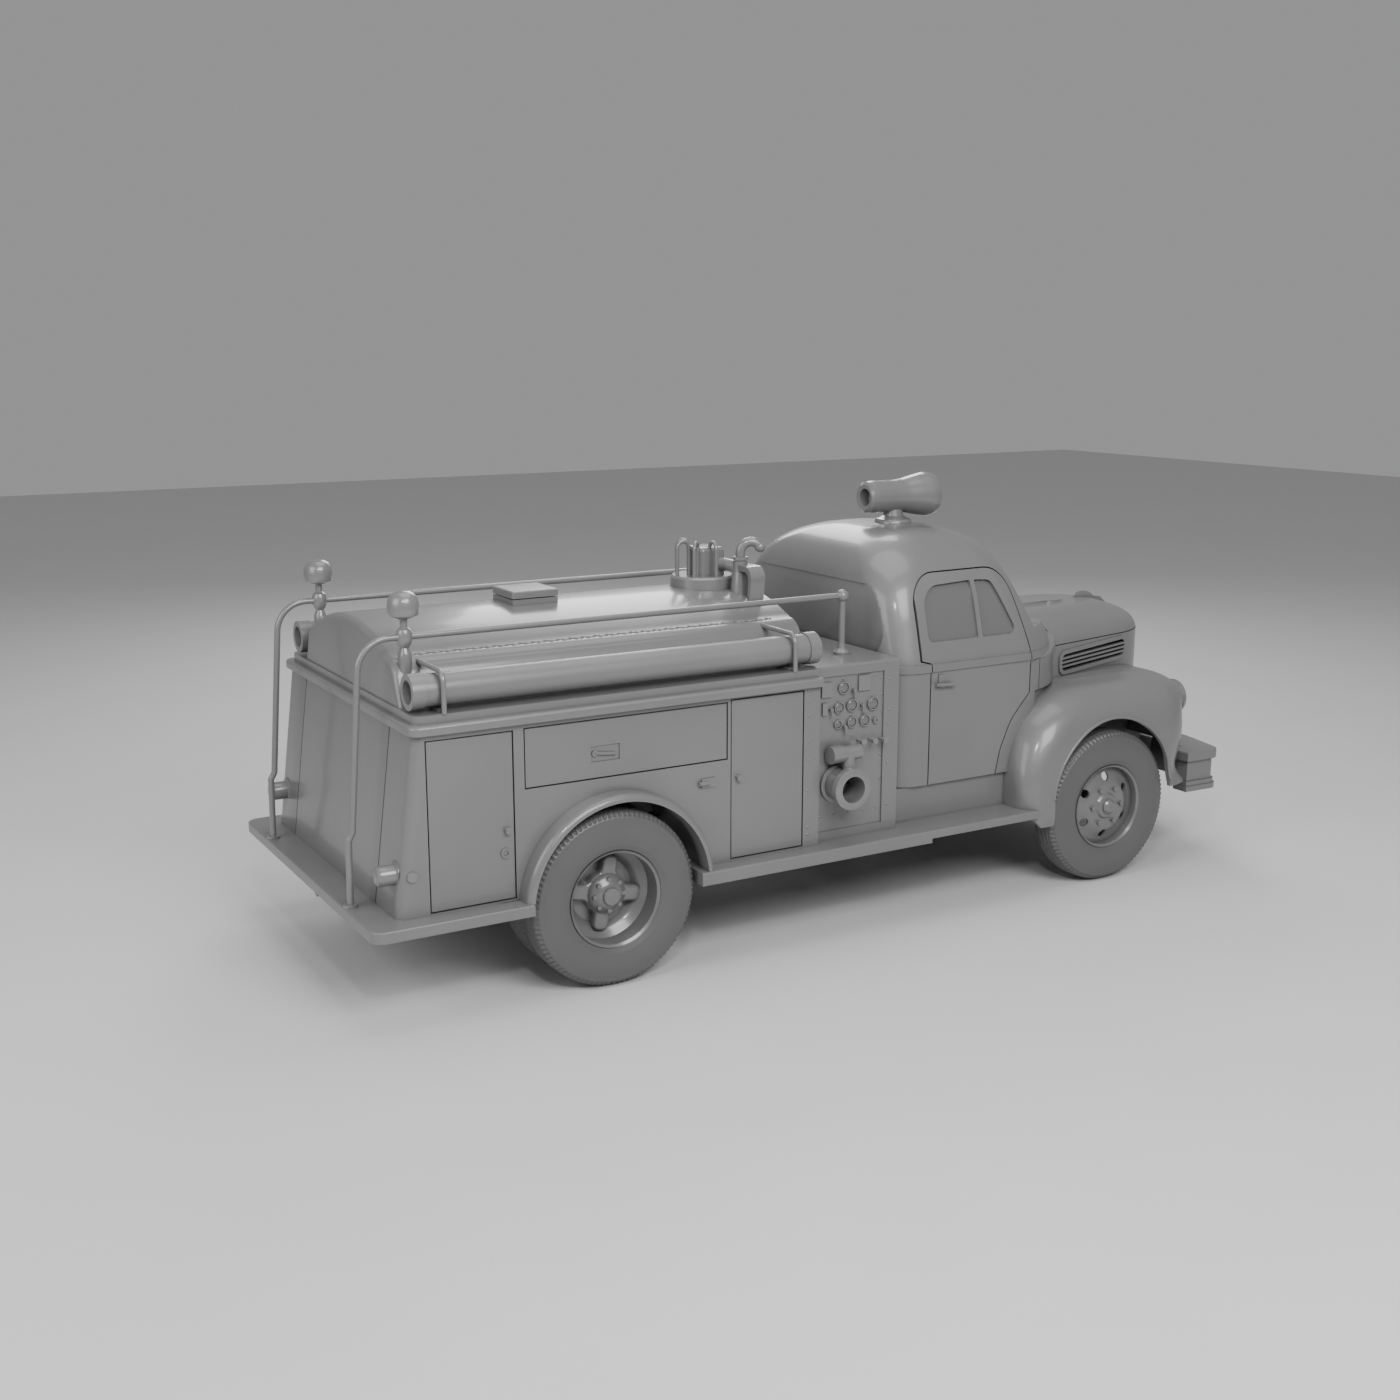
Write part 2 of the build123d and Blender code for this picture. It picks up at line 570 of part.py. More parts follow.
# Hood in plan, from its edge to its ridge: columns are height, half widths at the cowl and at the front
# corner,
# the corner's place and rounding, and the tip
HOOD = (
    (1360, 655, 505, 4050, 110, 4450),
    (1445, 654, 503, 4050, 110, 4446),
    (1500, 628, 474, 4040, 105, 4415),
    (1545, 562, 412, 4005, 95, 4345),
    (1580, 445, 320, 3945, 80, 4240),
    (1602, 280, 195, 3860, 55, 4095),
    (1612, 110, 75, 3760, 25, 3920),
)
HOOD_FOOT_Z = HOOD[0][0]
HOOD_RIDGE_Z = HOOD[-1][0]


def hood_volume(inset):
    """Hood as a loft through outlines in plan, each drawn in by the inset."""
    sink = inset / (HOOD_RIDGE_Z - HOOD_FOOT_Z)
    with BuildPart() as volume:
        for z, wide, narrow, corner, turn, tip in HOOD:
            rear_half = wide - inset
            front_half = narrow - inset
            corner_x = at(corner) - inset / 2
            with BuildSketch(Plane.XY.offset(z - sink * (z - HOOD_FOOT_Z))) as plan:
                with BuildLine():
                    Line((COWL_X, -rear_half), (corner_x, -front_half))
                    ThreePointArc((corner_x, -front_half), (at(tip) - inset, 0), (corner_x, front_half))
                    Polyline((corner_x, front_half), (COWL_X, rear_half), (COWL_X, -rear_half))
                make_face()
                fillet(plan.vertices().filter_by_position(Axis.X, corner_x - 1, corner_x + 1), turn)
        loft()
    return volume.part


# Front fenders
cab_outer = cab_volume(0)
fender_solid = fender_volume(0)
fender_hollow = fender_volume(FENDER_SKIN)
nose_solid = nose_plan(NOSE_LOW_Z - 300, HOOD_LOW_Z + 200, 0)
with BuildPart() as arch:
    with BuildSketch(side_plane(1300)):
        with Locations((FRONT_AXLE_X, ARCH_CENTRE_Z)):
            Circle(ARCH_HALF)
        with Locations((FRONT_AXLE_X, ARCH_CENTRE_Z / 2)):
            Rectangle(2 * ARCH_HALF, ARCH_CENTRE_Z)
    extrude(amount=400)
with BuildPart() as fender:
    add(fender_solid)
    add(fender_hollow, mode=Mode.SUBTRACT)
    add(arch.part, mode=Mode.SUBTRACT)
    add(nose_solid, mode=Mode.SUBTRACT)
    add(cab_outer, mode=Mode.SUBTRACT)
    block(at(2700), at(4600), 300, 700, 300, CAB_BOTTOM_Z + 4, mode=Mode.SUBTRACT)
pieces["front_fenders"] = both_sides(fender.part)

# Cab: outer solid with a belt bead, hollowed, then parted into shell and doors
BEAD_OUT = 11
bead = cab_volume(-BEAD_OUT)
with BuildPart() as belt:
    add(bead)
    block(at(1800), at(3290), -1000, 1000, BELT_Z - 48, BELT_Z - 4, mode=Mode.INTERSECT)
cab_inner = cab_volume(CAB_WALL)
with BuildPart() as cab_skin:
    add(cab_outer)
    add(belt.part)
    add(cab_inner, mode=Mode.SUBTRACT)

SILL_Z = CAB_BOTTOM_Z - 20
DOOR_GAP = 8
SWING_GAP = 16
FRAME_REAR_X = at(2074)
# Room for the crew beside the doors, which are cut back to it.
CREW_REAR_X = at(2464)
CREW_FRONT_X = at(2790)
CREW_HALF = 757
CREW_TOP_Z = 1860
door_points = ((DOOR_REAR_X, SILL_Z), (DOOR_REAR_X, BELT_Z - 4), (FRAME_REAR_X, BELT_Z + 16),
               (FRAME_REAR_X, 1990), (at(2800), 1995), (DOOR_FRONT_X, 1500), (DOOR_FRONT_X, 1230),
               (at(2770), 1075), (at(2694), 900), (at(2660), SILL_Z))
DOOR_ROUNDS = {3: 190, 4: 190, 7: 300, 8: 300}
with BuildPart() as floor_zone:
    block(at(1900), at(3000), 300, CAB_HALF_WIDTH - CAB_WALL, SILL_Z - 20, CAB_BOTTOM_Z + CAB_WALL + GAP)
door_prism = prism(door_points, 500, 1100, DOOR_ROUNDS)
with BuildPart() as door_hole:
    add(door_prism)
    block(at(1900), at(3000), 300, CAB_HALF_WIDTH - CAB_WALL - GAP, SILL_Z - 20, CAB_BOTTOM_Z + CAB_WALL,
          mode=Mode.SUBTRACT)
with BuildPart() as door_tool:
    with BuildSketch(side_plane(1100)) as door_outline:
        with BuildLine():
            Polyline(*door_points, close=True)
        make_face()
        for number, radius in DOOR_ROUNDS.items():
            x, z = door_points[number]
            fillet(door_outline.vertices().sort_by_distance((x, z, 0))[0], radius)
        offset(amount=-DOOR_GAP)
    extrude(amount=600)
window_points = ((at(2150), WINDOW_LOW_Z), (at(2150), 1912), (at(2520), 1928), (at(2520), WINDOW_LOW_Z))
vent_points = ((at(2550), WINDOW_LOW_Z), (at(2550), 1928), (at(2672), 1920), (at(2822), WINDOW_LOW_Z))
windows = (prism(window_points, 500, 1100, {0: 40, 1: 130, 2: 12, 3: 12}),
           prism(vent_points, 500, 1100, {0: 12, 1: 12, 2: 55, 3: 40}))
with BuildPart() as cab_door:
    add(cab_skin.part)
    add(door_tool.part, mode=Mode.INTERSECT)
    add(floor_zone.part, mode=Mode.SUBTRACT)
    block(at(2000), FRAME_REAR_X + SWING_GAP, 500, 1100, BELT_Z, 2100, mode=Mode.SUBTRACT)
    block(CREW_REAR_X, CREW_FRONT_X, 500, CREW_HALF, CAB_BOTTOM_Z + CAB_WALL, CREW_TOP_Z, mode=Mode.SUBTRACT)
    for opening in windows:
        add(opening, mode=Mode.SUBTRACT)
    block(at(2202), at(2238), CAB_HALF_WIDTH - 4, CAB_HALF_WIDTH + 8, 1332, 1412)
    rod((at(2220), CAB_HALF_WIDTH, 1352), (at(2220), CAB_HALF_WIDTH + 30, 1352), 13)
    rod((at(2170), CAB_HALF_WIDTH + 26, 1356), (at(2310), CAB_HALF_WIDTH + 26, 1348), 10)
pieces["cab_door_left"] = cab_door.part
pieces["cab_door_right"] = other_side(cab_door.part)

GLASS_DEPTH = 16
GLASS_THICK = 7
glass_outer = cab_volume(GLASS_DEPTH)
glass_inner = cab_volume(GLASS_DEPTH + GLASS_THICK)
with BuildPart() as glass_layer:
    add(glass_outer)
    add(glass_inner, mode=Mode.SUBTRACT)
with BuildPart() as window_tools:
    for opening in windows:
        add(opening)
with BuildPart() as door_glass:
    add(glass_layer.part)
    add(window_tools.part, mode=Mode.INTERSECT)
pieces["door_glass_left"] = door_glass.part
pieces["door_glass_right"] = other_side(door_glass.part)

with BuildPart() as screen_tool:
    with BuildSketch(front_plane(at(2700))) as pane:
        with BuildLine():
            Polyline((28, 1645), (28, 1940), (600, 1925), (700, 1645), close=True)
        make_face()
        fillet(pane.vertices(), 45)
        mirror(about=Plane.YZ)
    extrude(amount=700)
with BuildPart() as windscreen:
    add(glass_layer.part)
    add(screen_tool.part, mode=Mode.INTERSECT)
    block(at(2700), at(3600), -900, 900, 1600, 2000, mode=Mode.INTERSECT)
pieces["windscreen"] = windscreen.part

DASH_X = at(2800)
RECESS_TOP_Z = 1925
RECESS_LOW_Z = 1500
RECESS_HALF = 745
RECESS_DEPTH = 20
COWL_SEAM_X = at(2998)
COWL_SEAM_WIDE = 6
COWL_SEAM_DEEP = 42
both_door_holes = both_sides(door_hole.part)
with BuildPart() as cab_shell:
    add(cab_skin.part)
    add(both_door_holes, mode=Mode.SUBTRACT)
    add(screen_tool.part, mode=Mode.SUBTRACT)
    with BuildSketch(front_plane(CAB_BACK_X - 30)):
        with Locations((0, (RECESS_TOP_Z + RECESS_LOW_Z) / 2)):
            RectangleRounded(2 * RECESS_HALF, RECESS_TOP_Z - RECESS_LOW_Z, 130)
    extrude(amount=30 + RECESS_DEPTH, mode=Mode.SUBTRACT)
    block(DASH_X, DASH_X + 60, -800, 800, 1290, BELT_Z)
    for side in (1, -1):
        low, high = sorted((side * 740, side * 850))
        block(DASH_X + 60, at(3000), low, high, 1290, 1400)
    for side in (1, -1):
        low, high = sorted((side * (CAB_HALF_WIDTH - COWL_SEAM_DEEP), side * 1000))
        block(COWL_SEAM_X, COWL_SEAM_X + COWL_SEAM_WIDE, low, high, 1180, BELT_Z - 48, mode=Mode.SUBTRACT)
pieces["cab_shell"] = cab_shell.part

with BuildPart() as seat:
    block(at(1960), at(2440), -640, 640, 960, 1110)
    block(at(1945), at(2065), -640, 640, 1120, 1560)
pieces["bench_seat"] = seat.part
with BuildPart() as seat_box:
    block(at(1950), at(2420), -620, 620, CAB_BOTTOM_Z + CAB_WALL, 960)
pieces["seat_box"] = seat_box.part

COLUMN_FOOT = (at(2850), 330, 950)
COLUMN_HEAD = (at(2545), 330, 1330)
with BuildPart() as steering:
    rod(COLUMN_FOOT, COLUMN_HEAD, 24)
    head = Plane(origin=COLUMN_HEAD, z_dir=(COLUMN_HEAD[0] - COLUMN_FOOT[0], 0,
                                            COLUMN_HEAD[2] - COLUMN_FOOT[2]))
    with Locations(head):
        Torus(195, 13)
        Cylinder(48, 34)
        for spoke in (0, 120, 240):
            with Locations(Rotation(0, 0, spoke)):
                with Locations((100, 0, 0)):
                    Box(200, 22, 12)
pieces["steering_column"] = steering.part

# Nose: fixed sides with louvred vents, and the hood above them
VENT_REAR_X = at(3395)
VENT_FRONT_X = at(4055)
VENT_HIGH = 106
VENT_RISE = 28
VENT_LOW_Z = 1264
VENT_FRAME = 26
FRAME_PROUD = 11
VENT_BARS = 3
BAR_HEIGHT = 13


def vent_outline(grow):
    """Corners of the sloping vent, grown on all sides."""
    return ((VENT_REAR_X - grow, VENT_LOW_Z - grow), (VENT_REAR_X - grow, VENT_LOW_Z + VENT_HIGH + grow),
            (VENT_FRONT_X + grow, VENT_LOW_Z + VENT_RISE + VENT_HIGH + grow),
            (VENT_FRONT_X + grow, VENT_LOW_Z + VENT_RISE - grow))


vent = prism(vent_outline(0), 380, 760, {0: 34, 1: 34, 2: 34, 3: 34})
vent_border = prism(vent_outline(VENT_FRAME), 380, 760, {0: 56, 1: 56, 2: 56, 3: 56})
nose_outer = nose_plan(NOSE_LOW_Z, HOOD_LOW_Z - GAP, 0)
nose_inner = nose_plan(NOSE_LOW_Z - 50, HOOD_LOW_Z + 50, NOSE_WALL)
nose_proud = nose_plan(NOSE_LOW_Z, HOOD_LOW_Z - GAP, -FRAME_PROUD)
with BuildPart() as vent_frame:
    add(nose_proud)
    add(vent_border, mode=Mode.INTERSECT)
    add(nose_inner, mode=Mode.SUBTRACT)
    add(fender_solid, mode=Mode.SUBTRACT)
with BuildPart() as vent_holes:
    add(vent)
    for number in range(1, VENT_BARS + 1):
        z = VENT_LOW_Z + VENT_HIGH * number / (VENT_BARS + 1)
        bar = prism(((VENT_REAR_X - 60, z - BAR_HEIGHT / 2), (VENT_REAR_X - 60, z + BAR_HEIGHT / 2),
                     (VENT_FRONT_X + 60, z + BAR_HEIGHT / 2 + VENT_RISE),
                     (VENT_FRONT_X + 60, z - BAR_HEIGHT / 2 + VENT_RISE)), 300, 800)
        add(bar, mode=Mode.SUBTRACT)
vent_pair = both_sides(vent_holes.part)
frame_pair = both_sides(vent_frame.part)
with BuildPart() as grille_hole:
    with BuildSketch(front_plane(at(4080))) as mouth:
        with BuildLine():
            Polyline((-360, 830), (-400, 1180), (400, 1180), (360, 830), close=True)
        make_face()
        fillet(mouth.vertices(), 60)
    extrude(amount=500)
with BuildPart() as nose_shell:
    add(nose_outer)
    add(frame_pair)
    add(nose_inner, mode=Mode.SUBTRACT)
    block(COWL_X - 100, COWL_X + NOSE_WALL + 2, -620, 620, 700, 1500, mode=Mode.SUBTRACT)
    add(vent_pair, mode=Mode.SUBTRACT)
    add(grille_hole.part, mode=Mode.SUBTRACT)
pieces["nose_shell"] = nose_shell.part

GRILLE_BARS = (875, 930, 985, 1040, 1095, 1150)
grille_band = nose_plan(800, 1200, 3)
grille_back = nose_plan(700, 1300, NOSE_WALL - 3)
with BuildPart() as grille:
    add(grille_band)
    add(grille_back, mode=Mode.SUBTRACT)
    add(grille_hole.part, mode=Mode.INTERSECT)
    for low, high in zip(GRILLE_BARS[:-1], GRILLE_BARS[1:]):
        block(at(3900), at(4600), -330, -14, low + 13, high - 13, mode=Mode.SUBTRACT)
        block(at(3900), at(4600), 14, 330, low + 13, high - 13, mode=Mode.SUBTRACT)
pieces["grille"] = grille.part

hood_outer = hood_volume(0)
hood_inner = hood_volume(NOSE_WALL)
with BuildPart() as hood:
    add(hood_outer)
    add(hood_inner, mode=Mode.SUBTRACT)
    block(COWL_X - 300, COWL_X + GAP, -900, 900, 1300, 1800, mode=Mode.SUBTRACT)
    block(COWL_X - 300, at(4700), -900, 900, 1200, HOOD_LOW_Z, mode=Mode.SUBTRACT)
ornament = prism(((at(4120), 1580), (at(4140), 1612), (at(4300), 1592), (at(4385), 1520),
                  (at(4300), 1490)), -16, 16, {1: 14, 2: 40, 3: 20})
with BuildPart() as hood_full:
    add(hood.part)
    add(ornament)
    add(hood_inner, mode=Mode.SUBTRACT)
pieces["hood"] = hood_full.part

LAMP_X = at(4162)
LAMP_Y = 800
LAMP_Z = 1045
lamp = turned(((0, 0), (96, 0), (104, 20), (104, 52), (112, 58), (112, 72), (100, 80), (70, 96),
               (0, 106)), "X")
with BuildPart() as headlamp:
    with Locations((LAMP_X, LAMP_Y, LAMP_Z)):
        add(lamp)
    add(fender_solid, mode=Mode.SUBTRACT)
pieces["headlamps"] = both_sides(headlamp.part)

def bumper_band(draw_in, low, high):
    """Bumper in plan, drawn in from the edge, between two heights."""
    with BuildPart() as band:
        with BuildSketch(Plane.XY.offset(low)) as plan:
            with BuildLine():
                Polyline((BUMPER_FRONT_X, -600), (BUMPER_FRONT_X - 90, -985), (at(4215), -975),
                         (at(4215), -840), (at(4335), -800), (at(4335), 800), (at(4215), 840),
                         (at(4215), 975), (BUMPER_FRONT_X - 90, 985), (BUMPER_FRONT_X, 600), close=True)
            make_face()
            fillet(plan.vertices().filter_by_position(Axis.X, BUMPER_FRONT_X - 95, BUMPER_FRONT_X - 85), 85)
            fillet(plan.vertices().filter_by_position(Axis.X, BUMPER_FRONT_X - 5, BUMPER_FRONT_X + 5), 500)
            if draw_in:
                offset(amount=-draw_in)
        extrude(amount=high - low)
    return band.part


# Bumper: a swept channel with a top flange, a set-back web and a bottom lip; columns are draw-in, low
# and high
BUMPER_BANDS = ((0, 640, 700), (26, 500, 640), (12, 470, 500), (2, 436, 470))
bumper_bands = [bumper_band(*row) for row in BUMPER_BANDS]
with BuildPart() as bumper:
    for band in bumper_bands:
        add(band)
    fillet(bumper.faces().sort_by(Axis.Z)[-1].outer_wire().edges(), 12)
    block(at(4200), at(4500), -860, 860, 400, 640, mode=Mode.SUBTRACT)
pieces["bumper"] = bumper.part

# Steps: tailboard with side wings, and running boards with a riser up to the cab
TOW_X = TAIL_X + 110
TOW_Z = 440
TOW_HALF = 20
TOW_BORE = 20
with BuildPart() as tailboard:
    with BuildSketch(Plane.XY.offset(STEP_TOP_Z - STEP_THICK)) as board:
        with BuildLine():
            Polyline((TAIL_X, -HALF_STEP_WIDTH), (ARCH_REAR_X, -HALF_STEP_WIDTH), (ARCH_REAR_X, -1002),
                     (at(-620), -1002), (at(-620), 1002), (ARCH_REAR_X, 1002),
                     (ARCH_REAR_X, HALF_STEP_WIDTH), (TAIL_X, HALF_STEP_WIDTH), close=True)
        make_face()
        fillet(board.vertices().filter_by_position(Axis.X, TAIL_X - 1, TAIL_X + 1), 70)
    extrude(amount=STEP_THICK)
    fillet(tailboard.faces().sort_by(Axis.Z)[-1].outer_wire().edges(), 8)
    block(TOW_X - 45, TOW_X + 45, -TOW_HALF, TOW_HALF, 400, STEP_TOP_Z - STEP_THICK)
    rod((TOW_X, -TOW_HALF - 1, TOW_Z), (TOW_X, TOW_HALF + 1, TOW_Z), TOW_BORE, mode=Mode.SUBTRACT)
pieces["tailboard"] = tailboard.part

BOARD_OUT_Y = 1114
with BuildPart() as running_board:
    block(ARCH_FRONT_X, BOARD_STEP_X, 880, BOARD_OUT_Y, STEP_TOP_Z - 72, STEP_TOP_Z)
    block(BOARD_STEP_X, BOARD_FRONT_X, 860, BOARD_OUT_Y, STEP_TOP_Z - 46, STEP_TOP_Z)
    edges = running_board.edges().filter_by(Axis.X).filter_by_position(Axis.Y, BOARD_OUT_Y - 5,
                                                                       BOARD_OUT_Y + 5)
    fillet(edges.filter_by_position(Axis.Z, STEP_TOP_Z - 1, STEP_TOP_Z + 1), 12)
    block(at(1900), at(2790), 850, 872, STEP_TOP_Z - 20, CAB_BOTTOM_Z - GAP)
    add(fender_solid, mode=Mode.SUBTRACT)
pieces["running_boards"] = both_sides(running_board.part)

# Hose body: outer solid with a sloping rear wall, open bays on both sides and an open bed between them
body_outline = ((BODY_REAR_LOW_X, BODY_BOTTOM_Z), (BODY_REAR_TOP_X, BODY_TOP_Z), (BODY_FRONT_X, BODY_TOP_Z),
                (BODY_FRONT_X, BODY_BOTTOM_Z))
body_block = prism(body_outline, -BODY_HALF_WIDTH, BODY_HALF_WIDTH)
rear_groove = prism(((BODY_REAR_LOW_X - 20, BODY_BOTTOM_Z - 5), (BODY_REAR_TOP_X - 20, BODY_TOP_Z + 5),
                     (BODY_REAR_TOP_X + 6, BODY_TOP_Z + 5), (BODY_REAR_LOW_X + 6, BODY_BOTTOM_Z - 5)),
                    672, 682)
# Bay doors: columns are the name, the rear and front edges, the low and high edges and the hinge's edge
BAY_DOORS = (
    ("rear_door", at(-995), at(-532), 556, 1430, "rear"),
    ("side_hatch", at(-476), at(711), 1118, 1434, "top"),
    ("tall_door", at(729), at(1200), 556, 1446, "front"),
)
BAY_LIP = 22
rear_grooves = both_sides(rear_groove)
with BuildPart() as hose_body:
    add(body_block)
    corners = hose_body.edges().filter_by_position(Axis.X, BODY_REAR_LOW_X, BODY_REAR_TOP_X)
    fillet(corners.filter_by_position(Axis.Z, 900, 1100), 55)
    block(at(-1118), at(1400), -BAY_INNER_Y, BAY_INNER_Y, 500, BODY_FLOOR_Z, mode=Mode.SUBTRACT)
    block(at(-990), BODY_FRONT_X - BODY_WALL, -BED_HALF_WIDTH, BED_HALF_WIDTH, BODY_FLOOR_Z + BODY_WALL,
          1600, mode=Mode.SUBTRACT)
    for side in (1, -1):
        low, high = sorted((side * BAY_INNER_Y, side * 1200))
        with Locations((FLARE_X, (low + high) / 2, FLARE_Z)):
            Cylinder(WELL_RADIUS, high - low, rotation=(90, 0, 0), mode=Mode.SUBTRACT)
        for name, x0, x1, z0, z1, hinge in BAY_DOORS:
            face_low, face_high = sorted((side * (BODY_HALF_WIDTH - DOOR_THICK - 4), side * 1200))
            block(x0, x1, face_low, face_high, z0, z1, mode=Mode.SUBTRACT)
            bay_low, bay_high = sorted((side * BAY_INNER_Y, side * 1200))
            block(x0 + BAY_LIP, x1 - BAY_LIP, bay_low, bay_high, z0 + BAY_LIP, z1 - BAY_LIP,
                  mode=Mode.SUBTRACT)
    add(rear_grooves, mode=Mode.SUBTRACT)
    for side in (1, -1):
        low, high = sorted((side * (BODY_HALF_WIDTH - 2), side * (BODY_HALF_WIDTH + 9)))
        block(at(545), at(632), low, high, 984, 1034)
        rod((at(525), side * (BODY_HALF_WIDTH + 14), 1008), (at(590), side * (BODY_HALF_WIDTH + 10),
                                                             1008), 13)
pieces["hose_body"] = hose_body.part

KNOB_RADIUS = 17
for name, x0, x1, z0, z1, hinge in BAY_DOORS:
    with BuildPart() as bay_door:
        block(x0 + GAP, x1 - GAP, BODY_HALF_WIDTH - DOOR_THICK, BODY_HALF_WIDTH, z0 + GAP, z1 - GAP)
        face = bay_door.faces().sort_by(Axis.Y)[-1]
        fillet(face.outer_wire().edges(), 5)
        if hinge == "rear":
            rod((at(-578), BODY_HALF_WIDTH - 4, 924), (at(-578), BODY_HALF_WIDTH + 26, 924), KNOB_RADIUS)
            rod((at(-590), BODY_HALF_WIDTH - 4, 806), (at(-590), BODY_HALF_WIDTH + 9, 806), 26)
            rod((at(-590), BODY_HALF_WIDTH + 2, 806), (at(-590), BODY_HALF_WIDTH + 20, 806), 15,
                mode=Mode.SUBTRACT)
        if hinge == "top":
            block(at(-105), at(60), BODY_HALF_WIDTH - 7, BODY_HALF_WIDTH + 20, 1208, 1292,
                  mode=Mode.SUBTRACT)
            rod((at(-82), BODY_HALF_WIDTH - 2, 1254), (at(34), BODY_HALF_WIDTH - 2, 1240), 10)
            rod((at(-82), BODY_HALF_WIDTH - 12, 1254), (at(-82), BODY_HALF_WIDTH + 4, 1254), 17)
        if hinge == "front":
            rod((at(775), BODY_HALF_WIDTH - 4, 1011), (at(775), BODY_HALF_WIDTH + 26, 1011), KNOB_RADIUS)
    pieces[name + "_left"] = bay_door.part
    pieces[name + "_right"] = other_side(bay_door.part)

with BuildPart() as rear_fender:
    with BuildSketch(side_plane(FLARE_OUT_Y)):
        with Locations((FLARE_X, FLARE_Z)):
            Circle(FLARE_RADIUS)
            Circle(FLARE_OPEN, mode=Mode.SUBTRACT)
        with Locations((FLARE_X, STEP_TOP_Z - FLARE_RADIUS)):
            Rectangle(2.2 * FLARE_RADIUS, 2 * FLARE_RADIUS, mode=Mode.SUBTRACT)
    extrude(amount=FLARE_OUT_Y - BODY_HALF_WIDTH)
    rim = rear_fender.edges().filter_by_position(Axis.Y, FLARE_OUT_Y - 1,
                                                 FLARE_OUT_Y + 1).filter_by(GeomType.CIRCLE)
    fillet(rim.sort_by(SortBy.RADIUS)[-1], FLARE_ROUND)
pieces["rear_fenders"] = both_sides(rear_fender.part)

# Ledge: two stepped bands round the top of the body
with BuildPart() as ledge:
    with BuildSketch(Plane.XY.offset(BODY_TOP_Z)) as lower:
        with Locations(((BODY_REAR_TOP_X - 26 + BODY_FRONT_X) / 2, 0)):
            Rectangle(BODY_FRONT_X - BODY_REAR_TOP_X + 26, 2 * LEDGE_HALF_WIDTH)
        fillet(lower.vertices().filter_by_position(Axis.X, -3000, BODY_REAR_TOP_X), 60)
    extrude(amount=LEDGE_MID_Z - BODY_TOP_Z)
    band = ledge.edges().filter_by_position(Axis.Z, LEDGE_MID_Z - 1, LEDGE_MID_Z + 1)
    fillet(band.sort_by(Axis.X)[:-1], 16)
    with BuildSketch(Plane.XY.offset(LEDGE_MID_Z)) as upper:
        with Locations(((BODY_REAR_TOP_X + 10 + BODY_FRONT_X) / 2, 0)):
            Rectangle(BODY_FRONT_X - BODY_REAR_TOP_X - 10, 2 * LEDGE_STEP_Y)
        fillet(upper.vertices().filter_by_position(Axis.X, -3000, BODY_REAR_TOP_X + 50), 55)
    extrude(amount=LEDGE_TOP_Z - LEDGE_MID_Z)
    block(at(-960), at(1240), -690, 690, 1400, 1600, mode=Mode.SUBTRACT)
pieces["body_ledge"] = ledge.part


# Cover of the hose bed
def cover_volume(inset):
    """Arched cover: a cross-section of arcs carried along, with rounded ends."""
    with BuildPart() as volume:
        with BuildSketch(front_plane(COVER_REAR_X + inset)):
            with BuildLine():
                Polyline((0, LEDGE_TOP_Z), (COVER_HALF_WIDTH - inset, LEDGE_TOP_Z), (700 - inset, 1690))
                shoulder = ThreePointArc((700 - inset, 1690), (668 - inset, 1742 - inset * 0.6),
                                         (590 - inset, 1778 - inset))
                ThreePointArc(shoulder @ 1, (300, 1872 - inset), (0, COVER_TOP_Z - inset))
                Line((0, COVER_TOP_Z - inset), (0, LEDGE_TOP_Z))
            make_face()
            mirror(about=Plane.YZ)
        extrude(amount=COVER_FRONT_X - COVER_REAR_X - 2 * inset)
    return volume.part


cover_outer = cover_volume(0)
cover_inner = cover_volume(COVER_WALL)
FILL_X = at(0)
FILL_SIZE = 270
LID_Z = 1930
with BuildPart() as cover:
    add(cover_outer)
    ends = cover.edges().filter_by_position(Axis.X, COVER_REAR_X - 1, COVER_REAR_X + 1)
    fillet(ends.filter_by_position(Axis.Z, 1600, 2000), 40)
    add(cover_inner, mode=Mode.SUBTRACT)
    block(FILL_X - FILL_SIZE / 2, FILL_X + FILL_SIZE / 2, -FILL_SIZE / 2, FILL_SIZE / 2,
          COVER_TOP_Z - 40, LID_Z)
    block(FILL_X - FILL_SIZE / 2 + 30, FILL_X + FILL_SIZE / 2 - 30, -FILL_SIZE / 2 + 30, FILL_SIZE / 2 - 30,
          COVER_TOP_Z - 100, LID_Z + 10, mode=Mode.SUBTRACT)
pieces["hose_bed_cover"] = cover.part

with BuildPart() as fill_lid:
    block(FILL_X - FILL_SIZE / 2 - 4, FILL_X + FILL_SIZE / 2 + 4, -FILL_SIZE / 2 - 4, FILL_SIZE / 2 + 4,
          LID_Z + GAP, LID_Z + 46)
    fillet(fill_lid.edges().filter_by(Axis.Z), 14)
    fillet(fill_lid.faces().sort_by(Axis.Z)[-1].outer_wire().edges(), 10)
pieces["fill_lid"] = fill_lid.part

# Pump house with a panel set into each side
with BuildPart() as pump_house:
    block(PUMP_REAR_X, PUMP_FRONT_X, -PUMP_HALF_WIDTH, PUMP_HALF_WIDTH, STEP_TOP_Z, PUMP_TOP_Z)
    fillet(pump_house.edges().filter_by(Axis.X).filter_by_position(Axis.Z, PUMP_TOP_Z - 1,
                                                                   PUMP_TOP_Z + 1), 18)
    block(PUMP_REAR_X - 10, PUMP_FRONT_X + 10, -PUMP_HALF_WIDTH + PUMP_WALL, PUMP_HALF_WIDTH - PUMP_WALL,
          500, PUMP_TOP_Z - PUMP_WALL, mode=Mode.SUBTRACT)
    for side in (1, -1):
        low, high = sorted((side * (PUMP_HALF_WIDTH - 10), side * 1100))
        block(at(1335), at(1775), low, high, 600, 1490, mode=Mode.SUBTRACT)
pieces["pump_house"] = pump_house.part

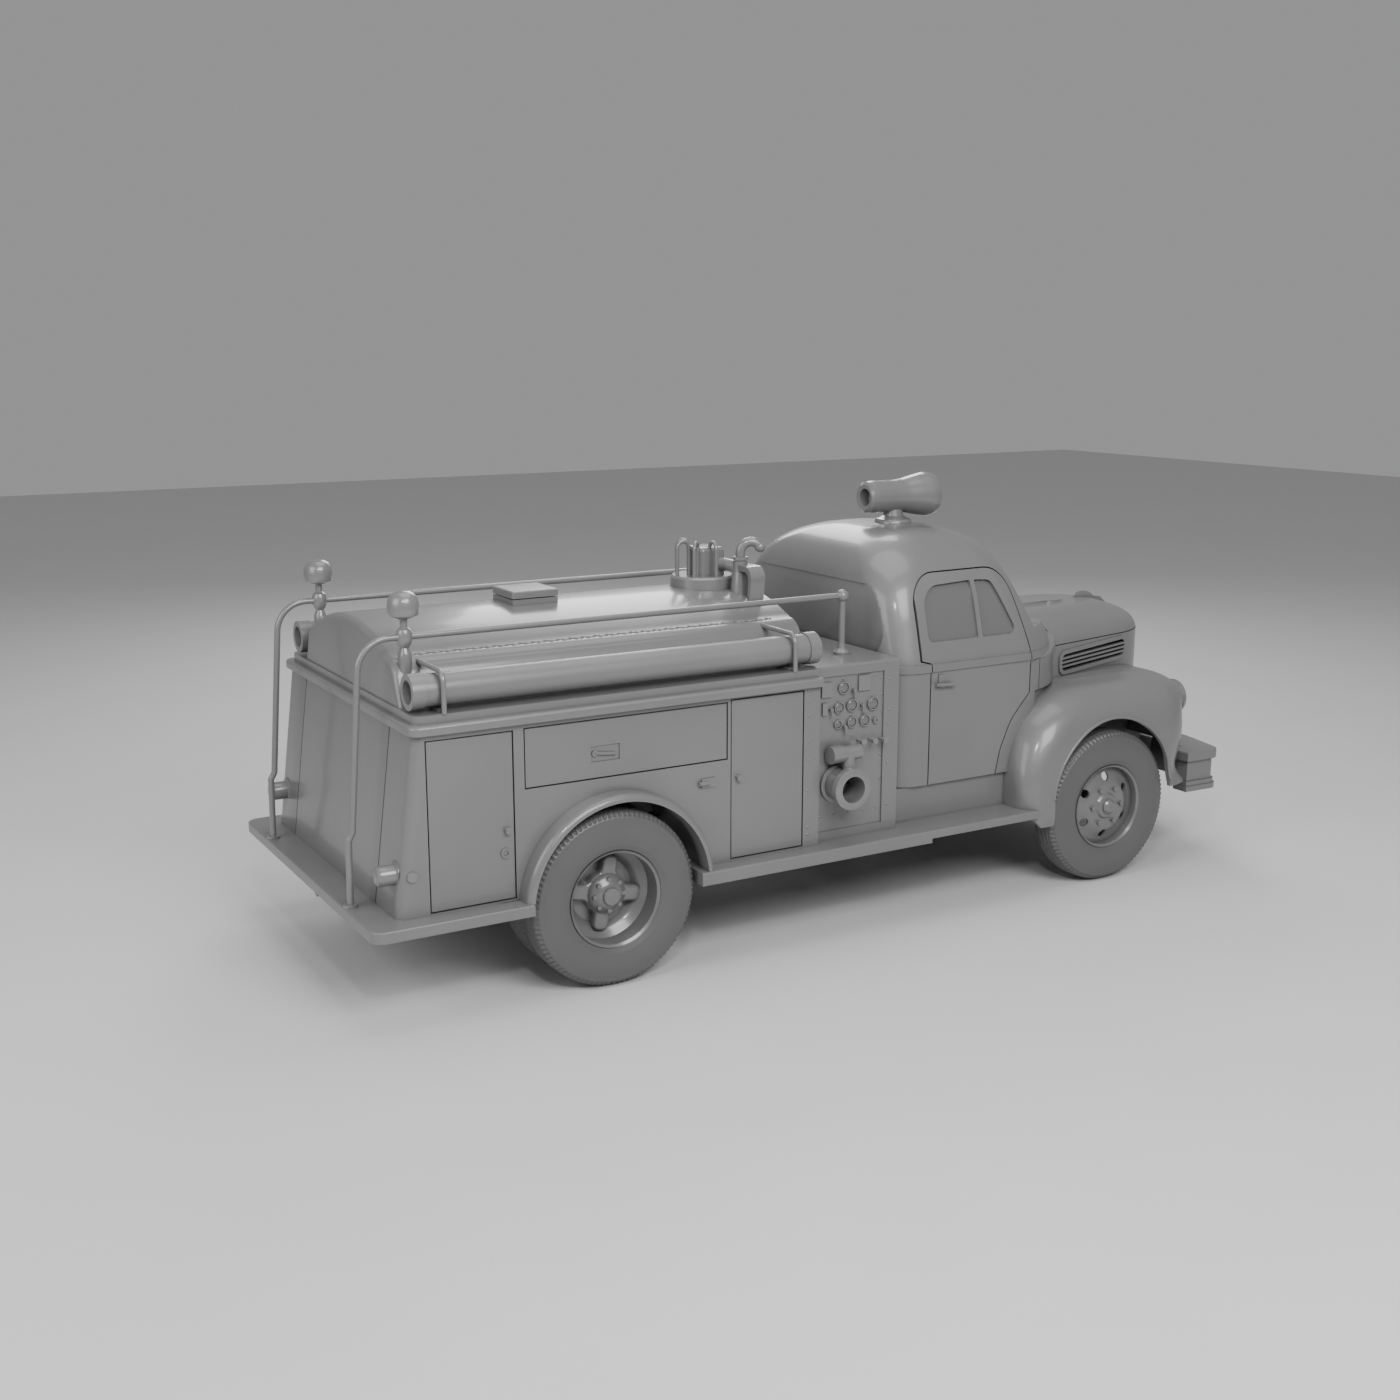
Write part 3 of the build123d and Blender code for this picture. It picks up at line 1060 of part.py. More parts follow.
PANEL_Y = PUMP_HALF_WIDTH - 10
INLET_X = at(1462)
INLET_Z = 872
INLET_BORE = 76
inlet = turned(((INLET_BORE, 0), (INLET_BORE, 172), (104, 172), (118, 166), (118, 128), (100, 120),
                (94, 60), (94, 22), (112, 16), (112, 0)), "Y")
# Round gauges on the panel: columns are x from the rear axle, height and radius
GAUGES = ((1496, 1419, 36), (1467, 1308, 33), (1554, 1313, 36), (1700, 1306, 38), (1461, 1213, 26),
          (1556, 1216, 32), (1645, 1216, 34), (1720, 1207, 17))
# Blank plates: columns are x, height, width and depth
PLATES = ((1382, 1417, 68, 84), (1639, 1433, 82, 88), (1372, 1308, 34, 70))
# Lever handles: columns are x and height of the pivot
LEVERS = ((1410, 1302), (1625, 1305), (1565, 1397), (1505, 1194))
KNOBS = ((1602, 1106), (1682, 1102), (1754, 1098))
with BuildPart() as fittings:
    with Locations((INLET_X, PANEL_Y, INLET_Z)):
        add(inlet)
    rod((at(1372), PANEL_Y + 62, 1056), (at(1452), PANEL_Y + 62, 1056), 50)
    rod((at(1452), PANEL_Y + 62, 1056), (at(1572), PANEL_Y + 62, 1056), 42)
    rod((at(1490), PANEL_Y + 84, 960), (at(1490), PANEL_Y + 66, 1056), 36)
    rod((at(1480), PANEL_Y, 1056), (at(1480), PANEL_Y + 62, 1056), 38)
    rod((INLET_X, PANEL_Y - 1, INLET_Z), (INLET_X, PANEL_Y + 200, INLET_Z), INLET_BORE, mode=Mode.SUBTRACT)
    for x, z, radius in GAUGES:
        rod((at(x), PANEL_Y, z), (at(x), PANEL_Y + 16, z), radius)
        rod((at(x), PANEL_Y + 10, z), (at(x), PANEL_Y + 20, z), radius - 6, mode=Mode.SUBTRACT)
    for x, z, wide, tall in PLATES:
        block(at(x - wide / 2), at(x + wide / 2), PANEL_Y, PANEL_Y + 12, z - tall / 2, z + tall / 2)
    for x, z in LEVERS:
        rod((at(x), PANEL_Y, z), (at(x), PANEL_Y + 26, z), 10)
        rod((at(x), PANEL_Y + 20, z + 8), (at(x), PANEL_Y + 26, z - 36), 7)
    for x, z in KNOBS:
        rod((at(x), PANEL_Y, z), (at(x), PANEL_Y + 55, z), 8)
        rod((at(x), PANEL_Y + 45, z), (at(x), PANEL_Y + 68, z), 17)
pieces["pump_fittings"] = both_sides(fittings.part)

# Handrails with the beacon posts and front stanchions
RAIL_Y = 673
RAIL_Z = 1887
RAIL_RADIUS = 17
POST_X = at(-957)
BALL_X = at(1672)
POST_FOOT_Z = 1660
RAIL_KNEE = (at(-1265), RAIL_Y, 930)
RAIL_HEEL = (at(-1287), RAIL_Y, 890)
RAIL_FOOT = (at(-1292), RAIL_Y, STEP_TOP_Z + 3)
beacon = turned(((0, POST_FOOT_Z), (26, POST_FOOT_Z), (34, 1742), (34, 1800), (22, 1832), (34, 1850),
                 (40, 1868), (40, 1906), (34, 1924), (19, 1936), (19, 1972), (44, 1984), (44, 1990),
                 (0, 1990)), "Z")
stanchion = turned(((0, PUMP_TOP_Z), (50, PUMP_TOP_Z), (50, PUMP_TOP_Z + 14), (26, PUMP_TOP_Z + 34),
                    (19, PUMP_TOP_Z + 70), (19, RAIL_Z), (0, RAIL_Z)), "Z")
with BuildPart() as rail:
    with Locations((POST_X, RAIL_Y, 0)):
        add(beacon)
    with Locations((BALL_X, RAIL_Y, 0)):
        add(stanchion)
    with Locations((BALL_X, RAIL_Y, RAIL_Z)):
        Sphere(36)
    rod((POST_X, RAIL_Y, RAIL_Z), (BALL_X, RAIL_Y, RAIL_Z), RAIL_RADIUS)
    with BuildLine() as path:
        FilletPolyline((POST_X, RAIL_Y, RAIL_Z), (at(-1192), RAIL_Y, RAIL_Z), RAIL_KNEE, radius=165)
    with BuildSketch(Plane(origin=path.line @ 0, z_dir=path.line % 0)):
        Circle(RAIL_RADIUS)
    sweep(path=path.line)
    rod(RAIL_KNEE, RAIL_HEEL, RAIL_RADIUS)
    rod(RAIL_HEEL, RAIL_FOOT, RAIL_RADIUS)
    with Locations(RAIL_KNEE, RAIL_HEEL):
        Sphere(RAIL_RADIUS)
    rod((at(-1292), RAIL_Y, STEP_TOP_Z), (at(-1292), RAIL_Y, STEP_TOP_Z + 14), 36)
    add(cover_outer, mode=Mode.SUBTRACT)
pieces["handrails"] = both_sides(rail.part)

DOME_RADIUS = 79
dome = turned(((0, 1990), (62, 1990), (74, 1996), (DOME_RADIUS, 2008), (DOME_RADIUS, 2046), (74, 2076),
               (58, 2100), (34, 2113), (0, 2118)), "Z")
tail_lamp = turned(((0, 0), (70, 0), (70, -18), (52, -26), (52, -96), (46, -112), (30, -122),
                    (0, -126)), "X")
TAIL_LAMP_Z = 757
TAIL_LAMP_Y = 900
WALL_LEAN = (BODY_REAR_TOP_X - BODY_REAR_LOW_X) / (BODY_TOP_Z - BODY_BOTTOM_Z)
wall_x = BODY_REAR_LOW_X + WALL_LEAN * (TAIL_LAMP_Z - BODY_BOTTOM_Z)
with BuildPart() as lamps:
    with Locations((POST_X, RAIL_Y, 0)):
        add(dome)
    with Locations((wall_x + 20, TAIL_LAMP_Y, TAIL_LAMP_Z)):
        add(tail_lamp)
    add(body_block, mode=Mode.SUBTRACT)
    rod((at(-1085), BODY_HALF_WIDTH, 763), (at(-1085), BODY_HALF_WIDTH + 12, 763), 26)
pieces["rear_lamps"] = both_sides(lamps.part)

# Suction hoses on their bent brackets
HOSE_RADIUS = 83
HOSE_Y = 880
HOSE_Z = 1652
HOSE_REAR_X = at(-1030)
HOSE_FRONT_X = at(1335)
with BuildPart() as hose:
    rod((HOSE_REAR_X, HOSE_Y, HOSE_Z), (HOSE_FRONT_X, HOSE_Y, HOSE_Z), HOSE_RADIUS)
    for x in (HOSE_REAR_X, HOSE_FRONT_X - 70):
        rod((x, HOSE_Y, HOSE_Z), (x + 70, HOSE_Y, HOSE_Z), HOSE_RADIUS + 7)
    rod((HOSE_REAR_X - 1, HOSE_Y, HOSE_Z), (HOSE_REAR_X + 60, HOSE_Y, HOSE_Z), 60, mode=Mode.SUBTRACT)
pieces["suction_hoses"] = both_sides(hose.part)

BRACKETS = (-942 + 60, 1148)
ROD_RADIUS = 13
with BuildPart() as bracket:
    for x in BRACKETS:
        with BuildLine() as bent:
            up = Line((at(x), 984, LEDGE_TOP_Z), (at(x), 984, 1700))
            over = TangentArc(up @ 1, (at(x), 930, 1754), tangent=up % 1)
            Line(over @ 1, (at(x), 640, 1754))
        with BuildSketch(Plane(origin=bent.line @ 0, z_dir=bent.line % 0)):
            Circle(ROD_RADIUS)
        sweep(path=bent.line)
        block(at(x - 16), at(x + 16), 810, 950, LEDGE_TOP_Z, HOSE_Z - HOSE_RADIUS)
    add(cover_outer, mode=Mode.SUBTRACT)
    add(hose.part, mode=Mode.SUBTRACT)
pieces["hose_brackets"] = both_sides(bracket.part)

# Turret on the cover: base, housing with hoops round it, neck to the stem and the yoke beside the stem
TURRET_X = at(1135)
STEM_X = at(1262)
STEM_Y = -225
POT_TOP_Z = 1968
pot = turned(((0, 1880), (186, 1880), (186, 1956), (174, POT_TOP_Z), (0, POT_TOP_Z)), "Z")
stem = turned(((0, 1840), (62, 1840), (54, 1930), (44, 2010), (42, 2064), (0, 2064)), "Z")
HOOPS = (128, 176, 224, 272)
HOOP_OUT = 158
HOOP_IN = 84
HOOP_BEND_Z = 2128
HOOP_RADIUS = 11
YOKE_HALF = 48
with BuildPart() as turret:
    with Locations((TURRET_X, 0, 0)):
        add(pot)
    block(TURRET_X - 62, TURRET_X + 104, -98, 86, POT_TOP_Z - 8, 2134)
    fillet(turret.edges().filter_by_position(Axis.Z, 2000, 2140), 24)
    for angle in HOOPS:
        reach = Vector(cos(radians(angle)), sin(radians(angle)), 0)
        centre = Vector(TURRET_X, 0, 0)
        rise = Vector(0, 0, HOOP_BEND_Z)
        foot = Vector(0, 0, POT_TOP_Z - 6)
        crest = Vector(0, 0, HOOP_BEND_Z + (HOOP_OUT - HOOP_IN) / 2)
        with BuildLine() as loop:
            Line(centre + reach * HOOP_OUT + foot, centre + reach * HOOP_OUT + rise)
            ThreePointArc(centre + reach * HOOP_OUT + rise,
                          centre + reach * (HOOP_OUT + HOOP_IN) / 2 + crest,
                          centre + reach * HOOP_IN + rise)
            Line(centre + reach * HOOP_IN + rise, centre + reach * HOOP_IN + foot)
        with BuildSketch(Plane(origin=loop.line @ 0, z_dir=loop.line % 0)):
            Circle(HOOP_RADIUS)
        sweep(path=loop.line)
    rod((TURRET_X + 60, -60, 2042), (STEM_X, STEM_Y, 2022), 36)
    with Locations((STEM_X, STEM_Y, 0)):
        add(stem)
    with BuildSketch(front_plane(STEM_X - YOKE_HALF + 14)):
        with BuildLine():
            Line((STEM_Y, 2044), (STEM_Y - 112, 2044))
            ThreePointArc((STEM_Y - 112, 2044), (STEM_Y - 156, 2020), (STEM_Y - 172, 1972))
            Polyline((STEM_Y - 172, 1972), (STEM_Y - 152, 1820), (STEM_Y - 128, 1820), (STEM_Y - 142, 1970))
            ThreePointArc((STEM_Y - 142, 1970), (STEM_Y - 132, 1998), (STEM_Y - 104, 2012))
            Polyline((STEM_Y - 104, 2012), (STEM_Y, 2012), (STEM_Y, 2044))
        make_face()
    extrude(amount=2 * YOKE_HALF)
    add(cover_outer, mode=Mode.SUBTRACT)
pieces["turret_base"] = turret.part

NOZZLE_Z = 2070
with BuildPart() as gun:
    rod((STEM_X, STEM_Y, NOZZLE_Z), (STEM_X, STEM_Y, NOZZLE_Z + 18), 44)
    with BuildLine() as hook:
        rise = Line((STEM_X, STEM_Y, NOZZLE_Z + 10), (STEM_X, STEM_Y, NOZZLE_Z + 42))
        TangentArc(rise @ 1, (STEM_X + 105, STEM_Y - 45, NOZZLE_Z + 72), tangent=rise % 1)
    with BuildSketch(Plane(origin=hook.line @ 0, z_dir=hook.line % 0)):
        Circle(28)
    sweep(path=hook.line)
    with Locations(hook.line @ 1):
        Sphere(32)
pieces["deck_gun"] = gun.part

# Siren on the roof
SIREN_Z = 2362
SIREN_FOOT_X = at(2525)
siren_horn = turned(((0, at(2370)), (54, at(2370)), (54, at(2304)), (80, at(2298)), (96, at(2312)),
                     (100, at(2345)), (97, at(2500)), (104, at(2580)), (126, at(2680)), (138, at(2745)),
                     (138, at(2776)), (128, at(2808)), (112, at(2815)), (104, at(2790)), (98, at(2700)),
                     (0, at(2700))), "X")
siren_foot = turned(((0, 2120), (116, 2120), (116, 2206), (106, 2222), (86, 2226), (64, 2240),
                     (54, 2300), (0, 2300)), "Z")
with BuildPart() as siren:
    with Locations((0, 0, SIREN_Z)):
        add(siren_horn)
    with Locations((SIREN_FOOT_X, 0, 0)):
        add(siren_foot)
    add(cab_outer, mode=Mode.SUBTRACT)
pieces["roof_siren"] = siren.part

for name, piece in pieces.items():
    piece.label = name
    export_step(piece, "parts/" + name + ".step")
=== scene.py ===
import bmesh
import bpy
import json
import math
import numpy as np
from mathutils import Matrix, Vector


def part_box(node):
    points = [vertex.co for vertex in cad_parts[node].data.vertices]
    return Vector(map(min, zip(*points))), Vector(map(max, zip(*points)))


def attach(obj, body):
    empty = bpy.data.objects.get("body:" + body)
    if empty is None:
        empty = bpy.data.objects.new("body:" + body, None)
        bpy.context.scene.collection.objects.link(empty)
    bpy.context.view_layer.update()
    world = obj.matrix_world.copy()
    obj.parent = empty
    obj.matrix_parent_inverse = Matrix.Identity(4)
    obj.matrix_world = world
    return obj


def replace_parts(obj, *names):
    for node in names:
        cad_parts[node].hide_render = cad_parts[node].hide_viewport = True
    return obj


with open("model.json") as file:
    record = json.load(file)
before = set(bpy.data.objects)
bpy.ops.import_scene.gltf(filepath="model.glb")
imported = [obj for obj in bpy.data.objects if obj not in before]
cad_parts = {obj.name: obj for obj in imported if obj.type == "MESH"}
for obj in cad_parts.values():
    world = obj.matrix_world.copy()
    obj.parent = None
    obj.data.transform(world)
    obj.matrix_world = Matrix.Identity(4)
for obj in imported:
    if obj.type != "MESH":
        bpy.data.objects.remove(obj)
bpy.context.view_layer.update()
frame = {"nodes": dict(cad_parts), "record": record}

# Camera of the picture, in the object's frame
CAMERA_AT = (-5.352, -8.282, 3.319)
CAMERA_TURN = (math.radians(77.603), 0.0, math.radians(-30.33))
CAMERA_ANGLE = math.radians(46.148)
SHARP_ANGLE = math.radians(32)
WELD_WITHIN = 0.00002
MERGE_WITHIN = 1e-6
REAR_AXLE_X = -1.630


def group_grain():
    """Node group: turns object coordinates into a fine height for bump and a slow change of tone."""
    group = bpy.data.node_groups.new("grain", "ShaderNodeTree")
    group.interface.new_socket("Scale", in_out="INPUT", socket_type="NodeSocketFloat")
    group.interface.new_socket("Height", in_out="OUTPUT", socket_type="NodeSocketFloat")
    group.interface.new_socket("Tone", in_out="OUTPUT", socket_type="NodeSocketFloat")
    nodes, links = group.nodes, group.links
    entry = nodes.new("NodeGroupInput")
    leave = nodes.new("NodeGroupOutput")
    place = nodes.new("ShaderNodeTexCoord")
    fine = nodes.new("ShaderNodeTexNoise")
    fine.inputs["Detail"].default_value = 3.0
    slow = nodes.new("ShaderNodeTexNoise")
    slow.inputs["Scale"].default_value = 1.7
    slow.inputs["Detail"].default_value = 2.0
    links.new(place.outputs["Object"], fine.inputs["Vector"])
    links.new(place.outputs["Object"], slow.inputs["Vector"])
    links.new(entry.outputs["Scale"], fine.inputs["Scale"])
    links.new(fine.outputs["Fac"], leave.inputs["Height"])
    links.new(slow.outputs["Fac"], leave.inputs["Tone"])
    return group


def group_painted_shade():
    """Node group: painted shade, darkening the tone in hollows and seams by ambient occlusion over a short
    reach.
    """
    group = bpy.data.node_groups.new("painted_shade", "ShaderNodeTree")
    group.interface.new_socket("Tone", in_out="INPUT", socket_type="NodeSocketFloat")
    group.interface.new_socket("Reach", in_out="INPUT", socket_type="NodeSocketFloat")
    group.interface.new_socket("Tone", in_out="OUTPUT", socket_type="NodeSocketFloat")
    nodes, links = group.nodes, group.links
    entry = nodes.new("NodeGroupInput")
    leave = nodes.new("NodeGroupOutput")
    # Painted shade: ambient occlusion over the reach darkens the tone where surfaces are hemmed in
    hollow = nodes.new("ShaderNodeAmbientOcclusion")
    hollow.samples = 8
    shade = nodes.new("ShaderNodeMapRange")
    shade.inputs["From Min"].default_value = 0.1
    shade.inputs["From Max"].default_value = 0.75
    shade.inputs["To Min"].default_value = 0.55
    shade.inputs["To Max"].default_value = 1.0
    darken = nodes.new("ShaderNodeMath")
    darken.operation = "MULTIPLY"
    links.new(entry.outputs["Reach"], hollow.inputs["Distance"])
    links.new(hollow.outputs["AO"], shade.inputs["Value"])
    links.new(entry.outputs["Tone"], darken.inputs[0])
    links.new(shade.outputs["Result"], darken.inputs[1])
    links.new(darken.outputs["Value"], leave.inputs["Tone"])
    return group


GRAIN = group_grain()
# Painted shade: ambient occlusion darkens the base colour in hollows and seams
PAINTED_SHADE = group_painted_shade()


def material(name, tone, rough, metal=0.0, coat=0.0, grain=180.0, bump=0.02, spread=0.05, alpha=1.0,
             reach=0.05):
    """Satin grey finish: the tone drifts slowly, painted shade from ambient occlusion darkens hollows and
    seams, and a fine grain gives the bump.
    """
    made = bpy.data.materials.new(name)
    made.use_nodes = True
    nodes, links = made.node_tree.nodes, made.node_tree.links
    shader = nodes["Principled BSDF"]
    shader.inputs["Metallic"].default_value = metal
    shader.inputs["Roughness"].default_value = rough
    shader.inputs["Coat Weight"].default_value = coat
    shader.inputs["Coat Roughness"].default_value = 0.12
    shader.inputs["Alpha"].default_value = alpha
    noise = nodes.new("ShaderNodeGroup")
    noise.node_tree = GRAIN
    noise.inputs["Scale"].default_value = grain
    ramp = nodes.new("ShaderNodeMapRange")
    ramp.inputs["From Min"].default_value = 0.3
    ramp.inputs["From Max"].default_value = 0.7
    ramp.inputs["To Min"].default_value = tone * (1 - spread)
    ramp.inputs["To Max"].default_value = tone * (1 + spread)
    # Painted shade: the tone is darkened by ambient occlusion in hollows and seams
    painted_shade = nodes.new("ShaderNodeGroup")
    painted_shade.node_tree = PAINTED_SHADE
    painted_shade.inputs["Reach"].default_value = reach
    grey = nodes.new("ShaderNodeCombineColor")
    height = nodes.new("ShaderNodeBump")
    height.inputs["Strength"].default_value = bump
    height.inputs["Distance"].default_value = 0.002
    links.new(noise.outputs["Tone"], ramp.inputs["Value"])
    links.new(ramp.outputs["Result"], painted_shade.inputs["Tone"])
    for channel in ("Red", "Green", "Blue"):
        links.new(painted_shade.outputs["Tone"], grey.inputs[channel])
    links.new(grey.outputs["Color"], shader.inputs["Base Color"])
    links.new(noise.outputs["Height"], height.inputs["Height"])
    links.new(height.outputs["Normal"], shader.inputs["Normal"])
    return made


LOOKS = {
    "body_paint": material("body_paint", 0.150, 0.36, coat=0.45),
    "step_paint": material("step_paint", 0.150, 0.42, coat=0.25),
    "bright_metal": material("bright_metal", 0.175, 0.30, metal=0.15, coat=0.5),
    "chassis_paint": material("chassis_paint", 0.12, 0.5),
    "wheel_paint": material("wheel_paint", 0.140, 0.30, metal=0.1, coat=0.5),
    "tyre_rubber": material("tyre_rubber", 0.090, 0.46, coat=0.1, bump=0.06, reach=0.02),
    "hose_rubber": material("hose_rubber", 0.160, 0.40, coat=0.25, bump=0.05),
    "seat_leather": material("seat_leather", 0.11, 0.45, bump=0.12, grain=320.0),
    "glass": material("glass", 0.135, 0.2, coat=0.5, bump=0.0, spread=0.02, alpha=0.9),
}
SLOT_OF = {row["node"]: row["material_slot"] for row in frame["record"]["subparts"]}

for name, node in frame["nodes"].items():
    node.data.materials.clear()
    node.data.materials.append(LOOKS[SLOT_OF[name]])
    node.data.polygons.foreach_set("use_smooth", np.ones(len(node.data.polygons), bool))
    weld = node.modifiers.new("weld", "WELD")
    weld.merge_threshold = WELD_WITHIN
    split = node.modifiers.new("split", "EDGE_SPLIT")
    split.split_angle = SHARP_ANGLE


def grid_faces(rows, columns, wrap_rows, wrap_columns, flip):
    """Quads of a grid of points, closed along the directions that wrap; flip turns their faces round."""
    number = np.arange(rows * columns).reshape(rows, columns)
    if wrap_rows:
        number = np.vstack((number, number[:1]))
    if wrap_columns:
        number = np.hstack((number, number[:, :1]))
    corners = (number[:-1, :-1], number[:-1, 1:], number[1:, 1:], number[1:, :-1])
    if flip:
        corners = corners[::-1]
    return np.stack(corners, axis=-1).reshape(-1, 4)


def piece(name, grids, body, look):
    """One object from several grids (points, two wraps, flip each), with the doubles at poles merged."""
    points, faces, count = [], [], 0
    for grid, wrap_rows, wrap_columns, flip in grids:
        faces.append(grid_faces(grid.shape[0], grid.shape[1], wrap_rows, wrap_columns, flip) + count)
        points.append(grid.reshape(-1, 3))
        count += grid.shape[0] * grid.shape[1]
    mesh = bpy.data.meshes.new(name)
    mesh.from_pydata(np.concatenate(points), [], np.concatenate(faces))
    work = bmesh.new()
    work.from_mesh(mesh)
    bmesh.ops.remove_doubles(work, verts=work.verts, dist=MERGE_WITHIN)
    bmesh.ops.dissolve_degenerate(work, edges=work.edges, dist=MERGE_WITHIN / 10)
    work.to_mesh(mesh)
    work.free()
    mesh.polygons.foreach_set("use_smooth", np.ones(len(mesh.polygons), bool))
    mesh.materials.append(LOOKS[look])
    made = bpy.data.objects.new(name, mesh)
    bpy.context.scene.collection.objects.link(made)
    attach(made, body)
    return made


# Half of the tyre's section, from the bead to the middle of the tread: radius and distance from the middle
TYRE_SECTION = np.array((
    (0.2625, 0.0790), (0.2750, 0.0835), (0.2900, 0.0890), (0.2960, 0.0925), (0.3020, 0.0930),
    (0.3080, 0.0935), (0.3300, 0.0985), (0.3500, 0.1008), (0.3700, 0.1016), (0.3900, 0.1008),
    (0.4100, 0.0982), (0.4280, 0.0940), (0.4360, 0.0935), (0.4420, 0.0920), (0.4500, 0.0872),
    (0.4580, 0.0822), (0.4650, 0.0765), (0.4700, 0.0690), (0.4730, 0.0600), (0.4745, 0.0450),
    (0.4748, 0.0)))
TREAD_GROOVES = (-0.050, -0.0175, 0.0175, 0.050)
GROOVE_HALF = 0.0042
GROOVE_DEEP = 0.009
NOTCHES = 96
NOTCH_DEEP = 0.0065
NOTCH_IN = 0.055
TREAD_FOOT = 0.466
TREAD_EASE = 0.001
SHOULDER_RADIUS = 0.4625
SHOULDER_BAND = 0.013
SHOULDER_FROM = 0.060
TYRE_TURNS = 480
TYRE_STEPS = 84


def tyre_grid(centre):
    """Ribbed tyre about the y axis: the section carried round a circle, with grooves and notches cut in.

    Steps along the section crowd on the tread.  A groove lowers the tread where a point lies within its half
    width; a notch lowers the shoulder where the cosine of the turn times the number of notches is high.
    """
    whole = np.vstack((TYRE_SECTION, TYRE_SECTION[-2::-1] * (1.0, -1.0)))
    length = np.concatenate(((0.0,), np.cumsum(np.hypot(*np.diff(whole, axis=0).T))))
    share = np.linspace(0.0, 1.0, TYRE_STEPS)
    crowd = 0.5 + 0.5 * np.sign(share - 0.5) * np.abs(2 * share - 1) ** 1.25
    step = crowd * length[-1]
    radius = np.interp(step, length, whole[:, 0])[:, None]
    across = np.interp(step, length, whole[:, 1])[:, None]
    turn = np.linspace(0.0, 2 * math.pi, TYRE_TURNS, endpoint=False)[None, :]
    tread = 1.0 / (1.0 + np.exp(-(radius - TREAD_FOOT) / TREAD_EASE))
    grooves = sum(1.0 / (1.0 + ((across - place) / GROOVE_HALF) ** 8) for place in TREAD_GROOVES)
    shoulder = np.exp(-((radius - SHOULDER_RADIUS) / SHOULDER_BAND) ** 6) * (np.abs(across) > SHOULDER_FROM)
    wave = 0.5 + 0.5 * np.tanh(5.0 * (np.cos(NOTCHES * turn) - 0.25))
    lowered = radius - GROOVE_DEEP * grooves * tread - NOTCH_DEEP * shoulder * wave
    drawn = across * (1.0 - NOTCH_IN * shoulder * wave)
    x = centre[0] + lowered * np.cos(turn)
    y = centre[1] + drawn + 0.0 * turn
    z = centre[2] + lowered * np.sin(turn)
    return np.stack((x, y, z), axis=-1)


# Tyres: columns are node, body and how many stand side by side
TYRES = (("front_tyre_left", "front_wheel_left", 1), ("front_tyre_right", "front_wheel_right", 1),
         ("rear_tyres_left", "rear_wheels_left", 2), ("rear_tyres_right", "rear_wheels_right", 2))
TYRE_WIDTH = 0.204
for node, body, twins in TYRES:
    low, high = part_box(node)
    middle_x, middle_z = (low[0] + high[0]) / 2, (low[2] + high[2]) / 2
    places = np.linspace(low[1] + TYRE_WIDTH / 2, high[1] - TYRE_WIDTH / 2, twins)
    grids = [(tyre_grid((middle_x, place, middle_z)), True, True, False) for place in places]
    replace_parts(piece(node + "_ribbed", grids, body, "tyre_rubber"), node)


def dome_grid(centre, normal_y, radius, height, sink=0.002, around=14):
    """Closed button on a side wall: a back pole, a rim and a rounded face, turned about the y axis."""
    lift = np.linspace(0.0, math.pi / 2, 5)
    across = np.concatenate(((0.0, radius), radius * np.cos(lift)))[:, None]
    out = np.concatenate(((-sink, -sink), height * np.sin(lift)))[:, None]
    turn = np.linspace(0.0, 2 * math.pi, around, endpoint=False)[None, :]
    x = centre[0] + across * np.cos(turn)
    z = centre[2] + across * np.sin(turn)
    y = centre[1] + normal_y * out + 0.0 * turn
    return np.stack((x, y, z), axis=-1)


# Rivets on the body's front strip and round the pump panel: columns are x from the rear axle, wall and height
BODY_WALL_Y = 1.000
PUMP_WALL_Y = 0.952
PANEL_WALL_Y = 0.942
RIVET_RADIUS = 0.0085
RIVET_HEIGHT = 0.0050
RIVETS = [(1.232, BODY_WALL_Y, z) for z in (0.620, 0.664, 0.872, 1.046, 1.156, 1.300, 1.380, 1.420)]
RIVETS += [(1.812, PUMP_WALL_Y, z) for z in (0.700, 0.950, 1.090, 1.180, 1.260, 1.440)]
RIVETS += [(1.764, PANEL_WALL_Y, z) for z in (0.860, 1.000, 1.255, 1.355, 1.452)]
RIVETS += [(x, PANEL_WALL_Y, 0.690) for x in (1.350, 1.450, 1.550, 1.650, 1.742)]
RIVETS += [(x, PANEL_WALL_Y, 1.470) for x in (1.360, 1.500, 1.725)]
rivets = [(dome_grid((REAR_AXLE_X + x, side * wall, z), side, RIVET_RADIUS, RIVET_HEIGHT),
           False, True, side > 0) for side in (1, -1) for x, wall, z in RIVETS]
piece("panel_rivets", rivets, "chassis", "bright_metal")

# Strainers at the bottom of the suction inlets
INLET = (REAR_AXLE_X + 1.462, PANEL_WALL_Y, 0.872)
INLET_RADIUS = 0.0752
STRAINER_SEAT = 0.0005
STRAINER_FACE = 0.010
BOSS_HEIGHT = 0.006
BOSS_WAVES = 360.0
STRAINER_EDGE = 0.006


def strainer_grid(centre, normal_y):
    """Closed round plate of bosses and pits: the face's height is a product of waves along and upwards."""
    part = np.linspace(1.0, 0.0, 40)
    across = np.concatenate(((0.0, INLET_RADIUS), INLET_RADIUS * part))[:, None]
    turn = np.linspace(0.0, 2 * math.pi, 144, endpoint=False)[None, :]
    x = across * np.cos(turn)
    z = across * np.sin(turn)
    bosses = np.tanh(2.5 * np.sin(BOSS_WAVES * x) * np.sin(BOSS_WAVES * z))
    face = STRAINER_FACE + BOSS_HEIGHT * bosses
    edge = np.clip((INLET_RADIUS - across) / STRAINER_EDGE, 0.0, 1.0)
    back = np.arange(len(across))[:, None] < 2
    out = np.where(back, STRAINER_SEAT, STRAINER_SEAT + face * edge)
    return np.stack((centre[0] + x, centre[1] + normal_y * out + 0.0 * turn, centre[2] + z), axis=-1)


strainers = [(strainer_grid((INLET[0], side * INLET[1], INLET[2]), side), False, True, side > 0)
             for side in (1, -1)]
piece("inlet_strainers", strainers, "chassis", "bright_metal")

